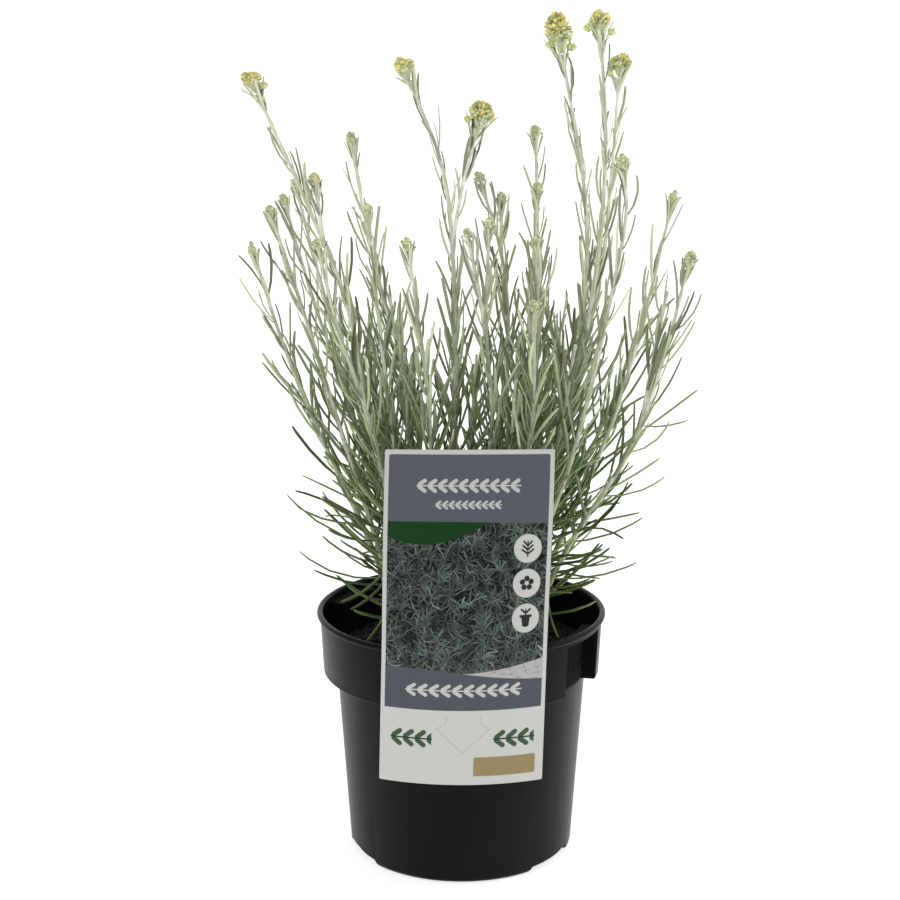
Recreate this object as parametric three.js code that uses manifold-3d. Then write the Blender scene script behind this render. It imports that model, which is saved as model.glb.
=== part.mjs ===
// Potted curry plant in a 140 mm nursery pot, with a plastic plant label on the rim.
// Millimetres, +Z up. The origin is the centre of the pot's underside, and -Y is the front,
// where the label hangs.

import * as THREE from 'three';
import { mergeVertices } from 'three/addons/utils/BufferGeometryUtils.js';
import Module from 'manifold-3d';

const wasm = await Module();
wasm.setup();

// Clearance between two pieces that touch, and between leaves that pass each other.
const SEAT = 0.3;
const LEAF_CLEARANCE = 0.4;

// Where leaves cross a stem's flats, faces thinner than this are merged into their neighbours.
const SLIVER = 0.002;

// The pot: radii of its outside, and heights above the surface it stands on.
const RIM_RADIUS = 70;
const POT_HEIGHT = 120;
const BEAD_RADIUS = 1.5;
const BEAD_LIP = 0.4;
const BEAD_ANGLES = [-54, 0, 45, 90, 155];
const COLLAR_TOP_RADIUS = 68.4;
const COLLAR_FOOT_RADIUS = 67;
const COLLAR_FOOT_HEIGHT = 89.6;
const BODY_TOP_RADIUS = 60.4;
const BODY_FOOT_RADIUS = 54.3;
const FOOT_FILLET = 3;
const WALL = 1.3;
const FLOOR = 1.6;
const POT_SIDES = 32;

// The two recesses in the collar and the three drain notches in the foot, by azimuth in degrees
// from the front towards +X.
const RECESS_AZIMUTHS = [60, 240];
const RECESS_WIDTH_DEGREES = 27;
const RECESS_TOP = 115.2;
const RECESS_WALL_DEGREES = 1.2;
const RECESS_SINK = 0.3;
const CUT_OVERRUN = 5;
const ARC_SIDES = 5;
const NOTCH_AZIMUTHS = [-66, 55, 175];
const NOTCH_HALF_WIDTH = 14;
const NOTCH_HEIGHT = 4.6;
const NOTCH_SLOPE = 4;
const NOTCH_DEPTH = 8;

// The strap on the collar that the label's tongue hooks behind.
const STRAP_WIDTH = 18.6;
const STRAP_FOOT = 92;
const STRAP_TOP = 106;
const STRAP_THICKNESS = 0.8;
const STRAP_CHEEK = 1.2;
const STRAP_ROOT = 1.4;
const STRAP_FRONT = 70.05;

// The potting mix.
const SOIL_LEVEL = 100;
const SOIL_LUMP = 1.1;
const SOIL_EDGE_DROP = 1.5;
const SOIL_RINGS = [46, 22];

// The label: a sheet that wraps the rim at its foot and leans back, nearly flat, above it.
const LABEL_WIDTH = 77;
const LABEL_THICKNESS = 0.8;
const LABEL_TOP = 210;
const LABEL_COLUMNS = 8;
const LABEL_ROWS = [57.3, 114, 122, 130, 146, 176, 210];
const LABEL_FRONT = -71.5;
const LABEL_LEAN = 0.26;
const LABEL_BEND_HEIGHT = 124;
const LABEL_BEND_SOFTNESS = 4;
const LABEL_WRAP_RADIUS = 97;
const LABEL_FLAT_RADIUS = 700;
const LABEL_FLATTENS_FROM = 118;
const LABEL_CENTRE_AT_RIM = 1.3;
const LABEL_TILT = 0.028;
const TONGUE_WIDTH = 15.6;
const TONGUE_BARB_WIDTH = 24.5;
const TONGUE_BARB_HEIGHT = 88.6;
const TONGUE_TIP_HEIGHT = 76;
const TONGUE_ROOT = 111;
const TONGUE_THICKNESS = 0.6;
const TONGUE_BACK = 68.4;
const TONGUE_WEB = { narrower: 0.6, height: 3.4, drop: 2 };

// Stems stand on this height inside the mix. Their radius falls to TIP_RADIUS at the top.
const STEM_FOOT_HEIGHT = 90;
const STEM_SIDES = 4;
const STEM_STEP = 27;
const TIP_RADIUS = 0.85;
const DEPTH_POWER = 0.85;
const BRANCH_FOOT_RADIUS = 1.05;
const BRANCH_TIP_RADIUS = 0.8;

// Leaves: linear, long and spread low down, short and upright near the heads.
const GOLDEN_ANGLE = Math.PI * (3 - Math.sqrt(5));
const LEAF_WIDTH = 1.5;
const LEAF_THICKNESS = 1;
const BENT_TAPERS = [0.6, 1, 0.6];
const STRAIGHT_TAPERS = [0.75, 0.7];
const LEAF_LOW = { height: 115, length: 42, angle: 70 };
const LEAF_MIDDLE = { height: 215, length: 31, angle: 29 };
const LEAF_HIGH = { height: 350, length: 20, angle: 15 };
const LEAF_BENT_BELOW = 195;
const LEAF_CROWDING = 1.15;
const LEAF_TRIES = 12;
const LEAF_SHORTER = 0.18;
const LEAF_FREE_FROM = 4;
const HEAD_ROOM = 4;
const LEAVES_START = { stem: 0.13, branch: 0.3 };
const LEAVES_END = { headed: 0.955, leafy: 0.985 };
const LENGTH_SPREAD = [0.8, 1.2];
const ANGLE_SPREAD = [0.75, 1.2];
const CURL_SPREAD = [0.12, 0.52];

// How far a leaf stays above the rim and the mix, inside the wall, and beside and behind the label.
const OVER_RIM = 1.6;
const OVER_SOIL = 3;
const INSIDE_WALL = 4;
const BESIDE_LABEL = 4;
const BEHIND_LABEL = 2.2;

// Heads: florets stand proud of the head all over. An open head has one at each corner and each
// face of an icosahedron, a bud one at each corner. Below TAPER_FROM a head narrows to its base.
const FLORET_PROUD = 0.3;
const HEAD_TAPER = 0.4;
const TAPER_FROM = -0.2;
const SAME_WAY = 0.99;
const HEAD_KINDS = {
  open: { detail: 2, colour: 0xc9bd3c },
  yellowing: { detail: 1, colour: 0xc4c46a },
  bud: { detail: 1, colour: 0xa9b97c },
  slim: { detail: 1, colour: 0x9aad74 },
};

// Each stem: where it stands, how far forward (-) or back (+) its tip is, the [x, z] points that
// it passes, its radius at the foot, its leaves, and the head it bears with width and height.
// A branch leaves its stem at the height fork.
const STEMS = [
  { name: 'left_1', foot: [-24, 7], tipY: 5, way: [[-44, 150], [-68, 205], [-85, 250], [-97, 290]],
    radius: 1.5, leaves: 14, head: ['slim', 4.5, 8] },
  { name: 'left_2', foot: [-20, 0], tipY: -18,
    way: [[-30, 150], [-42, 210], [-53, 270], [-71, 318], [-92, 367]],
    radius: 1.7, leaves: 15, head: ['open', 10, 11.5],
    branch: { fork: 300, tipY: -23, way: [[-66, 326]], leaves: 1, head: ['yellowing', 5.5, 7] } },
  { name: 'left_3', foot: [-16, 7], tipY: 22, way: [[-31, 150], [-49, 215], [-65, 268], [-78, 319]],
    radius: 1.4, leaves: 12, head: ['bud', 5, 6.5] },
  { name: 'left_4', foot: [-20, 14], tipY: 40, way: [[-36, 150], [-55, 215], [-72, 265], [-85, 310]],
    radius: 1.4, leaves: 13, head: ['bud', 5, 6.5] },
  { name: 'left_5', foot: [-24, -7], tipY: -10, way: [[-39, 150], [-57, 210], [-74, 268], [-87, 310]],
    radius: 1.6, leaves: 14, head: ['bud', 5, 7] },
  { name: 'left_6', foot: [-20, -14], tipY: -40, way: [[-29, 150], [-40, 210], [-56, 263], [-64, 299]],
    radius: 1.5, leaves: 13, head: ['bud', 5.6, 6] },
  { name: 'left_7', foot: [-12, 14], tipY: 52,
    way: [[-17, 150], [-23, 210], [-38, 265], [-46, 298], [-53, 338]],
    radius: 1.5, leaves: 14, head: ['bud', 6, 7.5] },
  { name: 'left_8', foot: [-16, -7], tipY: -28, way: [[-23, 150], [-32, 210], [-38, 265], [-42, 313]],
    radius: 1.4, leaves: 12, head: ['bud', 4.5, 6] },
  { name: 'middle_1', foot: [-4, 0], tipY: 4,
    way: [[-4, 150], [-3, 220], [-4, 290], [-9, 332], [-24, 372]],
    radius: 2, leaves: 16, head: ['open', 9.5, 11],
    branch: { fork: 296, tipY: -8, way: [[0, 322], [7, 351]], leaves: 3, head: ['open', 12.5, 12.5] } },
  { name: 'middle_2', foot: [-12, -14], tipY: -44, way: [[-13, 150], [-15, 225], [-20, 270], [-24, 299]],
    radius: 1.4, leaves: 11, head: ['bud', 5, 7] },
  { name: 'middle_3', foot: [0, -7], tipY: -38, way: [[6, 150], [14, 215], [11, 262], [12, 308]],
    radius: 1.5, leaves: 12, head: ['bud', 5.2, 6.2],
    branch: { fork: 258, tipY: -42, way: [[8, 278], [3, 304]], leaves: 2, head: ['bud', 4.5, 6] } },
  { name: 'middle_4', foot: [4, 21], tipY: 62,
    way: [[12, 150], [22, 215], [23, 262], [18, 293], [10, 319]],
    radius: 1.5, leaves: 13, head: ['bud', 5, 6.5],
    branch: { fork: 284, tipY: 65, way: [[20, 309]], leaves: 1, head: ['bud', 5, 6] } },
  { name: 'centre_1', foot: [4, 14], tipY: 66, way: [[20, 150], [36, 215], [38, 275], [37, 340]],
    radius: 1.5, leaves: 14, head: ['bud', 6.5, 7.5] },
  { name: 'centre_2', foot: [8, 7], tipY: 25, way: [[18, 150], [31, 215], [34, 270], [36, 317]],
    radius: 1.5, leaves: 12, head: ['bud', 5.5, 6.5] },
  { name: 'centre_3', foot: [8, -7], tipY: -20, way: [[18, 150], [32, 220], [35, 262], [34, 298]],
    radius: 1.4, leaves: 12, head: ['bud', 5.2, 6] },
  { name: 'centre_4', foot: [12, -14], tipY: -46, way: [[21, 150], [32, 215], [32, 272]],
    radius: 1.4, leaves: 11, head: ['bud', 5.2, 6] },
  { name: 'centre_5', foot: [12, 0], tipY: 5, way: [[29, 150], [47, 212], [44, 250], [38, 277]],
    radius: 1.3, leaves: 11 },
  { name: 'right_1', foot: [16, 7], tipY: 22,
    way: [[36, 150], [50, 200], [59, 270], [58, 322], [47, 383]],
    radius: 2, leaves: 16, head: ['open', 13, 19] },
  { name: 'right_2', foot: [20, 0], tipY: -6,
    way: [[33, 150], [49, 212], [62, 280], [66, 340], [63, 392]],
    radius: 1.7, leaves: 15, head: ['open', 11.5, 12.5] },
  { name: 'right_3', foot: [12, 14], tipY: 50,
    way: [[31, 150], [51, 212], [67, 270], [73, 325], [76, 371]],
    radius: 1.7, leaves: 15, head: ['open', 11.5, 12] },
  { name: 'right_4', foot: [20, -14], tipY: -42,
    way: [[35, 150], [54, 212], [68, 282], [73, 316], [71, 335]],
    radius: 1.5, leaves: 14, head: ['bud', 5.6, 7.5] },
  { name: 'right_5', foot: [24, 7], tipY: 15, way: [[48, 150], [73, 210], [89, 268], [99, 313]],
    radius: 1.5, leaves: 13, head: ['slim', 5, 8] },
  { name: 'right_6', foot: [24, -7], tipY: -22, way: [[49, 150], [79, 202], [93, 245], [103, 288]],
    radius: 1.6, leaves: 14, head: ['yellowing', 6.5, 9],
    branch: { fork: 214, tipY: -14, way: [[89, 245], [95, 277]], leaves: 3 } },
  { name: 'shoot_1', foot: [16, -7], tipY: -14, way: [[30, 150], [45, 203], [53, 252]],
    radius: 1.3, leaves: 12 },
  { name: 'shoot_2', foot: [20, 14], tipY: 34, way: [[42, 150], [70, 205], [86, 250]],
    radius: 1.3, leaves: 12 },
  { name: 'shoot_3', foot: [-8, -7], tipY: -16, way: [[-18, 150], [-25, 210], [-30, 264]],
    radius: 1.3, leaves: 12 },
  { name: 'shoot_4', foot: [-12, 0], tipY: 10, way: [[-26, 150], [-38, 205], [-45, 252]],
    radius: 1.3, leaves: 12 },
  { name: 'shoot_5', foot: [-4, 21], tipY: 58, way: [[0, 150], [5, 195], [8, 234]],
    radius: 1.3, leaves: 12 },
  { name: 'shoot_6', foot: [4, -14], tipY: -32, way: [[14, 150], [22, 200], [25, 243]],
    radius: 1.3, leaves: 11 },
  { name: 'shoot_7', foot: [-12, 21], tipY: 60, way: [[-28, 150], [-48, 200], [-62, 243]],
    radius: 1.3, leaves: 12 },
  { name: 'shoot_8', foot: [12, 21], tipY: 72, way: [[24, 150], [38, 195], [50, 232]],
    radius: 1.3, leaves: 12 },
];

const MATERIALS = {
  pot: { color: 0x26282a, roughness: 0.45, metalness: 0 },
  mix: { color: 0x241c16, roughness: 0.95, metalness: 0 },
  label: { color: 0xeef0ee, roughness: 0.4, metalness: 0 },
  foliage: { color: 0x7c8f62, roughness: 0.85, metalness: 0 },
};

const radians = THREE.MathUtils.degToRad;
const { clamp, lerp, smoothstep } = THREE.MathUtils;

// A fixed scatter between 0 and 1 for the draw c of the repeat k on the piece i.
const SCATTER = { piece: 127.1, repeat: 311.7, draw: 74.7, gain: 43758.5453 };

function scatter(i, k, c) {
  const wave = Math.sin(i * SCATTER.piece + k * SCATTER.repeat + c * SCATTER.draw) * SCATTER.gain;
  return wave - Math.floor(wave);
}

function signedVolume(position, index) {
  const [a, b, c] = [new THREE.Vector3(), new THREE.Vector3(), new THREE.Vector3()];
  let volume = 0;
  for (let i = 0; i < index.length; i += 3) {
    a.fromBufferAttribute(position, index[i]);
    b.fromBufferAttribute(position, index[i + 1]);
    c.fromBufferAttribute(position, index[i + 2]);
    volume += a.dot(b.cross(c)) / 6;
  }
  return volume;
}

// One closed shell: shared vertices merged, collapsed faces dropped, faces pointing outwards.
function closedShell(geometry) {
  const bare = geometry.clone();
  bare.deleteAttribute('normal');
  bare.deleteAttribute('uv');
  const merged = mergeVertices(bare, 1e-4);
  const index = [];
  const source = merged.index.array;
  for (let i = 0; i < source.length; i += 3) {
    const [a, b, c] = [source[i], source[i + 1], source[i + 2]];
    if (a !== b && b !== c && c !== a) index.push(a, b, c);
  }
  if (signedVolume(merged.attributes.position, index) < 0) index.reverse();
  merged.setIndex(index);
  return merged;
}

function toSolid(geometry) {
  const shell = closedShell(geometry);
  return new wasm.Manifold(new wasm.Mesh({
    numProp: 3,
    vertProperties: new Float32Array(shell.attributes.position.array),
    triVerts: new Uint32Array(shell.index.array),
  }));
}

function fromSolid(solid) {
  const mesh = solid.getMesh();
  const geometry = new THREE.BufferGeometry();
  geometry.setAttribute('position', new THREE.BufferAttribute(new Float32Array(mesh.vertProperties), 3));
  geometry.setIndex(Array.from(mesh.triVerts));
  return geometry;
}

function fuse(geometries) {
  return geometries.map(toSolid).reduce((whole, piece) => whole.add(piece));
}

function fuseWithoutSlivers(geometries) {
  return fuse(geometries).asOriginal().simplify(SLIVER);
}

function named(name, geometry, look) {
  const mesh = new THREE.Mesh(geometry, new THREE.MeshStandardMaterial(look));
  mesh.geometry.computeVertexNormals();
  mesh.name = name;
  return mesh;
}

// A body of revolution about Z from [radius, height] points.
function revolve(profile, sides) {
  const points = profile.map(([radius, height]) => new THREE.Vector2(radius, height));
  return new THREE.LatheGeometry(points, sides).rotateX(Math.PI / 2);
}

// A ring sector about Z between two radii and two heights, centred on an azimuth.
function ringSector(azimuth, widthDegrees, inner, outer, foot, top) {
  const middle = radians(azimuth - 90);
  const half = radians(widthDegrees / 2);
  const shape = new THREE.Shape();
  shape.absarc(0, 0, outer, middle - half, middle + half, false);
  shape.absarc(0, 0, inner, middle + half, middle - half, true);
  const options = { depth: top - foot, bevelEnabled: false, curveSegments: ARC_SIDES };
  return new THREE.ExtrudeGeometry(shape, options).translate(0, 0, foot);
}

// Pot

function beadProfile() {
  return BEAD_ANGLES.map(radians).map((angle) => [
    RIM_RADIUS + BEAD_RADIUS * (Math.cos(angle) - 1),
    POT_HEIGHT + BEAD_RADIUS * (Math.sin(angle) - 1),
  ]);
}

function potProfile() {
  const beadFoot = POT_HEIGHT - 2 * BEAD_RADIUS - BEAD_LIP;
  const innerTop = COLLAR_TOP_RADIUS - WALL;
  return [
    [0, 0],
    [BODY_FOOT_RADIUS - FOOT_FILLET, 0],
    [BODY_FOOT_RADIUS - FOOT_FILLET * 0.3, FOOT_FILLET * 0.3],
    [BODY_FOOT_RADIUS, FOOT_FILLET],
    [BODY_TOP_RADIUS, COLLAR_FOOT_HEIGHT],
    [COLLAR_FOOT_RADIUS, COLLAR_FOOT_HEIGHT],
    [COLLAR_TOP_RADIUS, beadFoot],
    ...beadProfile(),
    [innerTop, beadFoot],
    [COLLAR_FOOT_RADIUS - WALL, COLLAR_FOOT_HEIGHT + WALL],
    [BODY_TOP_RADIUS - WALL, COLLAR_FOOT_HEIGHT + WALL],
    [BODY_FOOT_RADIUS - WALL, FLOOR],
    [0, FLOOR],
  ];
}

// The recess shows inside the pot as a bulge of the wall. grow widens it for the mix round it.
function recessBulge(azimuth, grow) {
  const width = RECESS_WIDTH_DEGREES + 2 * (RECESS_WALL_DEGREES + grow);
  const inner = BODY_TOP_RADIUS - WALL - grow;
  const outer = COLLAR_FOOT_RADIUS - RECESS_SINK;
  const foot = COLLAR_FOOT_HEIGHT + RECESS_SINK - grow;
  return ringSector(azimuth, width, inner, outer, foot, RECESS_TOP + WALL + grow);
}

function recessCut(azimuth) {
  const outer = RIM_RADIUS + CUT_OVERRUN;
  const foot = COLLAR_FOOT_HEIGHT - CUT_OVERRUN;
  return ringSector(azimuth, RECESS_WIDTH_DEGREES, BODY_TOP_RADIUS, outer, foot, RECESS_TOP);
}

function notchCut(azimuth) {
  const shape = new THREE.Shape();
  shape.moveTo(-NOTCH_HALF_WIDTH - NOTCH_SLOPE, -1);
  shape.lineTo(NOTCH_HALF_WIDTH + NOTCH_SLOPE, -1);
  shape.lineTo(NOTCH_HALF_WIDTH, NOTCH_HEIGHT);
  shape.lineTo(-NOTCH_HALF_WIDTH, NOTCH_HEIGHT);
  shape.closePath();
  const reach = NOTCH_DEPTH + CUT_OVERRUN;
  const block = new THREE.ExtrudeGeometry(shape, { depth: reach, bevelEnabled: false });
  block.rotateX(Math.PI / 2).translate(0, -(BODY_FOOT_RADIUS - NOTCH_DEPTH), 0);
  return block.rotateZ(radians(azimuth));
}

function strap() {
  const tall = STRAP_TOP - STRAP_FOOT;
  const middle = (STRAP_TOP + STRAP_FOOT) / 2;
  const bar = new THREE.BoxGeometry(STRAP_WIDTH, STRAP_THICKNESS, tall);
  bar.translate(0, -STRAP_FRONT + STRAP_THICKNESS / 2, middle);
  const deep = STRAP_FRONT - COLLAR_FOOT_RADIUS + STRAP_ROOT;
  const sides = [-1, 1].map((side) => {
    const cheek = new THREE.BoxGeometry(STRAP_CHEEK, deep, tall);
    return cheek.translate(side * (STRAP_WIDTH - STRAP_CHEEK) / 2, -STRAP_FRONT + deep / 2, middle);
  });
  return [bar, ...sides];
}

function pot() {
  let solid = fuse([revolve(potProfile(), POT_SIDES), ...strap()]);
  for (const azimuth of RECESS_AZIMUTHS) {
    solid = solid.add(toSolid(recessBulge(azimuth, 0))).subtract(toSolid(recessCut(azimuth)));
  }
  for (const azimuth of NOTCH_AZIMUTHS) solid = solid.subtract(toSolid(notchCut(azimuth)));
  return named('pot', fromSolid(solid), MATERIALS.pot);
}

// Label

function labelCentreY(z) {
  const rise = z - LABEL_BEND_HEIGHT;
  return LABEL_FRONT + (LABEL_LEAN * (rise + Math.hypot(rise, LABEL_BEND_SOFTNESS))) / 2;
}

function labelRadius(z) {
  const flat = smoothstep(z, LABEL_FLATTENS_FROM, LABEL_TOP);
  return 1 / lerp(1 / LABEL_WRAP_RADIUS, 1 / LABEL_FLAT_RADIUS, flat);
}

// The point of the sheet at the distance across from its middle, at height z, and out of its face.
function labelPoint(across, z, out) {
  const radius = labelRadius(z);
  const centre = LABEL_CENTRE_AT_RIM + LABEL_TILT * (z - LABEL_BEND_HEIGHT);
  const angle = (across + centre) / radius;
  const x = (radius + out) * Math.sin(angle);
  const y = labelCentreY(z) + radius - (radius + out) * Math.cos(angle);
  return new THREE.Vector3(x, y, z);
}

function labelSheet() {
  const rows = LABEL_ROWS.length - 1;
  const sheet = new THREE.BoxGeometry(LABEL_WIDTH, LABEL_THICKNESS, rows, LABEL_COLUMNS, 1, rows);
  const position = sheet.attributes.position;
  for (let i = 0; i < position.count; i += 1) {
    const height = LABEL_ROWS[Math.round(position.getZ(i) + rows / 2)];
    const point = labelPoint(position.getX(i), height, -position.getY(i));
    position.setXYZ(i, point.x, point.y, point.z);
  }
  return sheet;
}

function labelTongue() {
  const shape = new THREE.Shape();
  shape.moveTo(-TONGUE_WIDTH / 2, TONGUE_ROOT);
  shape.lineTo(-TONGUE_WIDTH / 2, TONGUE_BARB_HEIGHT);
  shape.lineTo(-TONGUE_BARB_WIDTH / 2, TONGUE_BARB_HEIGHT);
  shape.lineTo(0, TONGUE_TIP_HEIGHT);
  shape.lineTo(TONGUE_BARB_WIDTH / 2, TONGUE_BARB_HEIGHT);
  shape.lineTo(TONGUE_WIDTH / 2, TONGUE_BARB_HEIGHT);
  shape.lineTo(TONGUE_WIDTH / 2, TONGUE_ROOT);
  shape.closePath();
  const plate = new THREE.ExtrudeGeometry(shape, { depth: TONGUE_THICKNESS, bevelEnabled: false });
  plate.rotateX(Math.PI / 2).translate(0, -TONGUE_BACK, 0);
  const deep = -LABEL_FRONT - TONGUE_BACK;
  const web = new THREE.BoxGeometry(TONGUE_WIDTH - TONGUE_WEB.narrower, deep, TONGUE_WEB.height);
  web.translate(0, -TONGUE_BACK - deep / 2, TONGUE_ROOT - TONGUE_WEB.drop);
  return [plate, web];
}

function label() {
  return named('label', fromSolid(fuse([labelSheet(), ...labelTongue()])), MATERIALS.label);
}

// Stems

// Points up a stem: depth goes from the foot's to the tip's along the rise.
function routePoints(start, way, tipY) {
  const top = way[way.length - 1][1];
  const points = way.map(([x, z]) => {
    const share = ((z - start.z) / (top - start.z)) ** DEPTH_POWER;
    return new THREE.Vector3(x, lerp(start.y, tipY, share), z);
  });
  return new THREE.CatmullRomCurve3([start, ...points], false, 'catmullrom');
}

function pointAtHeight(curve, height) {
  let [low, high] = [0, 1];
  for (let i = 0; i < 30; i += 1) {
    const middle = (low + high) / 2;
    if (curve.getPoint(middle).z < height) low = middle;
    else high = middle;
  }
  return low;
}

// The way across a stem at a share of its length: to +X and to the back, both square to the stem.
function frameAt(curve, share) {
  const along = curve.getTangentAt(share);
  const side = new THREE.Vector3(1, 0, 0).addScaledVector(along, -along.x).normalize();
  return { along, side, front: along.clone().cross(side) };
}

function across({ side, front }, angle) {
  return side.clone().multiplyScalar(Math.cos(angle)).addScaledVector(front, Math.sin(angle));
}

// A tapered stem: a cylinder bent along the curve. grow makes it wider and longer at the foot, for
// its hole.
function tube(curve, footRadius, tipRadius, steps, grow = 0) {
  const geometry = new THREE.CylinderGeometry(1, 1, 1, STEM_SIDES, steps);
  const position = geometry.attributes.position;
  for (let i = 0; i < position.count; i += 1) {
    const row = Math.round((position.getY(i) + 0.5) * steps);
    const frame = frameAt(curve, row / steps);
    const spread = Math.hypot(position.getX(i), position.getZ(i));
    const radius = spread * (lerp(footRadius, tipRadius, row / steps) + grow);
    const out = across(frame, Math.atan2(position.getX(i), position.getZ(i)));
    const point = curve.getPointAt(row / steps).addScaledVector(out, radius);
    if (row === 0) point.addScaledVector(frame.along, -grow);
    position.setXYZ(i, point.x, point.y, point.z);
  }
  return geometry;
}

// Every axis of the plant: each stem and each branch with its curve and radii.
function growAxes() {
  const axes = [];
  STEMS.forEach((stem) => {
    const start = new THREE.Vector3(stem.foot[0], stem.foot[1], STEM_FOOT_HEIGHT);
    const curve = routePoints(start, stem.way, stem.tipY);
    const main = { ...stem, stem: stem.name, curve, tip: TIP_RADIUS };
    axes.push(main);
    if (!stem.branch) return;
    const fork = curve.getPoint(pointAtHeight(curve, stem.branch.fork));
    const forked = routePoints(fork, stem.branch.way, stem.branch.tipY);
    axes.push({ ...stem.branch, name: `${stem.name}_side`, stem: stem.name, curve: forked,
      radius: BRANCH_FOOT_RADIUS, tip: BRANCH_TIP_RADIUS, isBranch: true });
  });
  axes.forEach((axis, order) => {
    axis.order = order;
    axis.length = axis.curve.getLength();
    axis.steps = Math.max(2, Math.round(axis.length / STEM_STEP));
  });
  return axes;
}

function radiusAt(axis, share) {
  return lerp(axis.radius, axis.tip, share);
}

// Obstacles are thick lines: from a to b, with a radius, belonging to a node.
function stemObstacles(axes) {
  const obstacles = [];
  axes.forEach((axis) => {
    const points = axis.curve.getSpacedPoints(axis.steps * 2);
    for (let i = 0; i < points.length - 1; i += 1) {
      const radius = radiusAt(axis, i / (points.length - 1));
      obstacles.push({ a: points[i], b: points[i + 1], radius, node: `stem_${axis.stem}` });
    }
    if (!axis.head) return;
    const [, width, height] = axis.head;
    const tip = axis.curve.getPointAt(1);
    const up = axis.curve.getTangentAt(1);
    const low = tip.clone().addScaledVector(up, Math.min(width / 2, height / 2));
    const high = tip.clone().addScaledVector(up, Math.max(height - width / 2, height / 2));
    obstacles.push({ a: low, b: high, radius: width / 2, node: `head_${axis.name}` });
  });
  return obstacles;
}

// Shortest distance between the lines p1-q1 and p2-q2.
function lineDistance(p1, q1, p2, q2) {
  const d1 = q1.clone().sub(p1);
  const d2 = q2.clone().sub(p2);
  const r = p1.clone().sub(p2);
  const a = d1.dot(d1);
  const e = d2.dot(d2);
  const b = d1.dot(d2);
  const c = d1.dot(r);
  const f = d2.dot(r);
  const denominator = a * e - b * b;
  let s = denominator > 1e-9 ? clamp((b * f - c * e) / denominator, 0, 1) : 0;
  let t = (b * s + f) / e;
  if (t < 0) {
    t = 0;
    s = clamp(-c / a, 0, 1);
  } else if (t > 1) {
    t = 1;
    s = clamp((b - c) / a, 0, 1);
  }
  return p1.clone().addScaledVector(d1, s).distanceTo(p2.clone().addScaledVector(d2, t));
}

function touches(a, b, radius, node, obstacles) {
  return obstacles.some((other) => other.node !== node
    && lineDistance(a, b, other.a, other.b) < radius + other.radius + LEAF_CLEARANCE);
}

// Whether a point of a leaf is clear of the mix, the pot's wall and rim, and the label.
function clearOfPot(point) {
  const overRim = point.z > POT_HEIGHT + OVER_RIM;
  const inside = Math.hypot(point.x, point.y) < BODY_TOP_RADIUS - INSIDE_WALL;
  if (point.z < SOIL_LEVEL + OVER_SOIL || (!overRim && !inside)) return false;
  if (point.z > LABEL_TOP + BEHIND_LABEL) return true;
  const beside = Math.abs(point.x - LABEL_CENTRE_AT_RIM) > LABEL_WIDTH / 2 + BESIDE_LABEL;
  return beside || point.y > labelPoint(point.x, point.z, 0).y + BEHIND_LABEL;
}

// A leaf's length and its angle to the stem, by the height that it grows at.
function leafHabit(height) {
  const low = smoothstep(height, LEAF_LOW.height, LEAF_MIDDLE.height);
  const high = clamp((height - LEAF_MIDDLE.height) / (LEAF_HIGH.height - LEAF_MIDDLE.height), 0, 1);
  return {
    length: lerp(lerp(LEAF_LOW.length, LEAF_MIDDLE.length, low), LEAF_HIGH.length, high),
    angle: lerp(lerp(LEAF_LOW.angle, LEAF_MIDDLE.angle, low), LEAF_HIGH.angle, high),
  };
}

// A leaf's length where its stem bears a head: it stands no more than HEAD_ROOM above the stem.
function roomFor(axis, share, length, angle) {
  if (!axis.head) return length;
  return Math.min(length, (axis.length * (1 - share) + HEAD_ROOM) / Math.cos(angle));
}

// A leaf that leaves the axis at a share of its length, on one of the stem's flats: its three
// points, the way that it sets out and the way across its blade.
function leafShape(axis, share, flat, length, angle, curl) {
  const frame = frameAt(axis.curve, share);
  const out = across(frame, ((flat + 0.5) / STEM_SIDES) * 2 * Math.PI);
  const first = frame.along.clone().multiplyScalar(Math.cos(angle)).addScaledVector(out, Math.sin(angle));
  const second = first.clone().add(new THREE.Vector3(0, 0, curl)).normalize();
  const root = axis.curve.getPointAt(share);
  const middle = root.clone().addScaledVector(first, length * 0.5);
  const tip = middle.clone().addScaledVector(second, length * 0.5);
  return { root, middle, tip, first, blade: frame.along.clone().cross(out) };
}

function leafIsClear({ root, middle, tip, first }, node, obstacles) {
  const start = root.clone().addScaledVector(first, LEAF_FREE_FROM);
  for (let share = 0; share <= 1; share += 0.25) {
    if (!clearOfPot(start.clone().lerp(middle, share))) return false;
    if (!clearOfPot(middle.clone().lerp(tip, share))) return false;
  }
  const half = LEAF_WIDTH / 2;
  return !touches(start, middle, half, node, obstacles) && !touches(middle, tip, half, node, obstacles);
}

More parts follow.
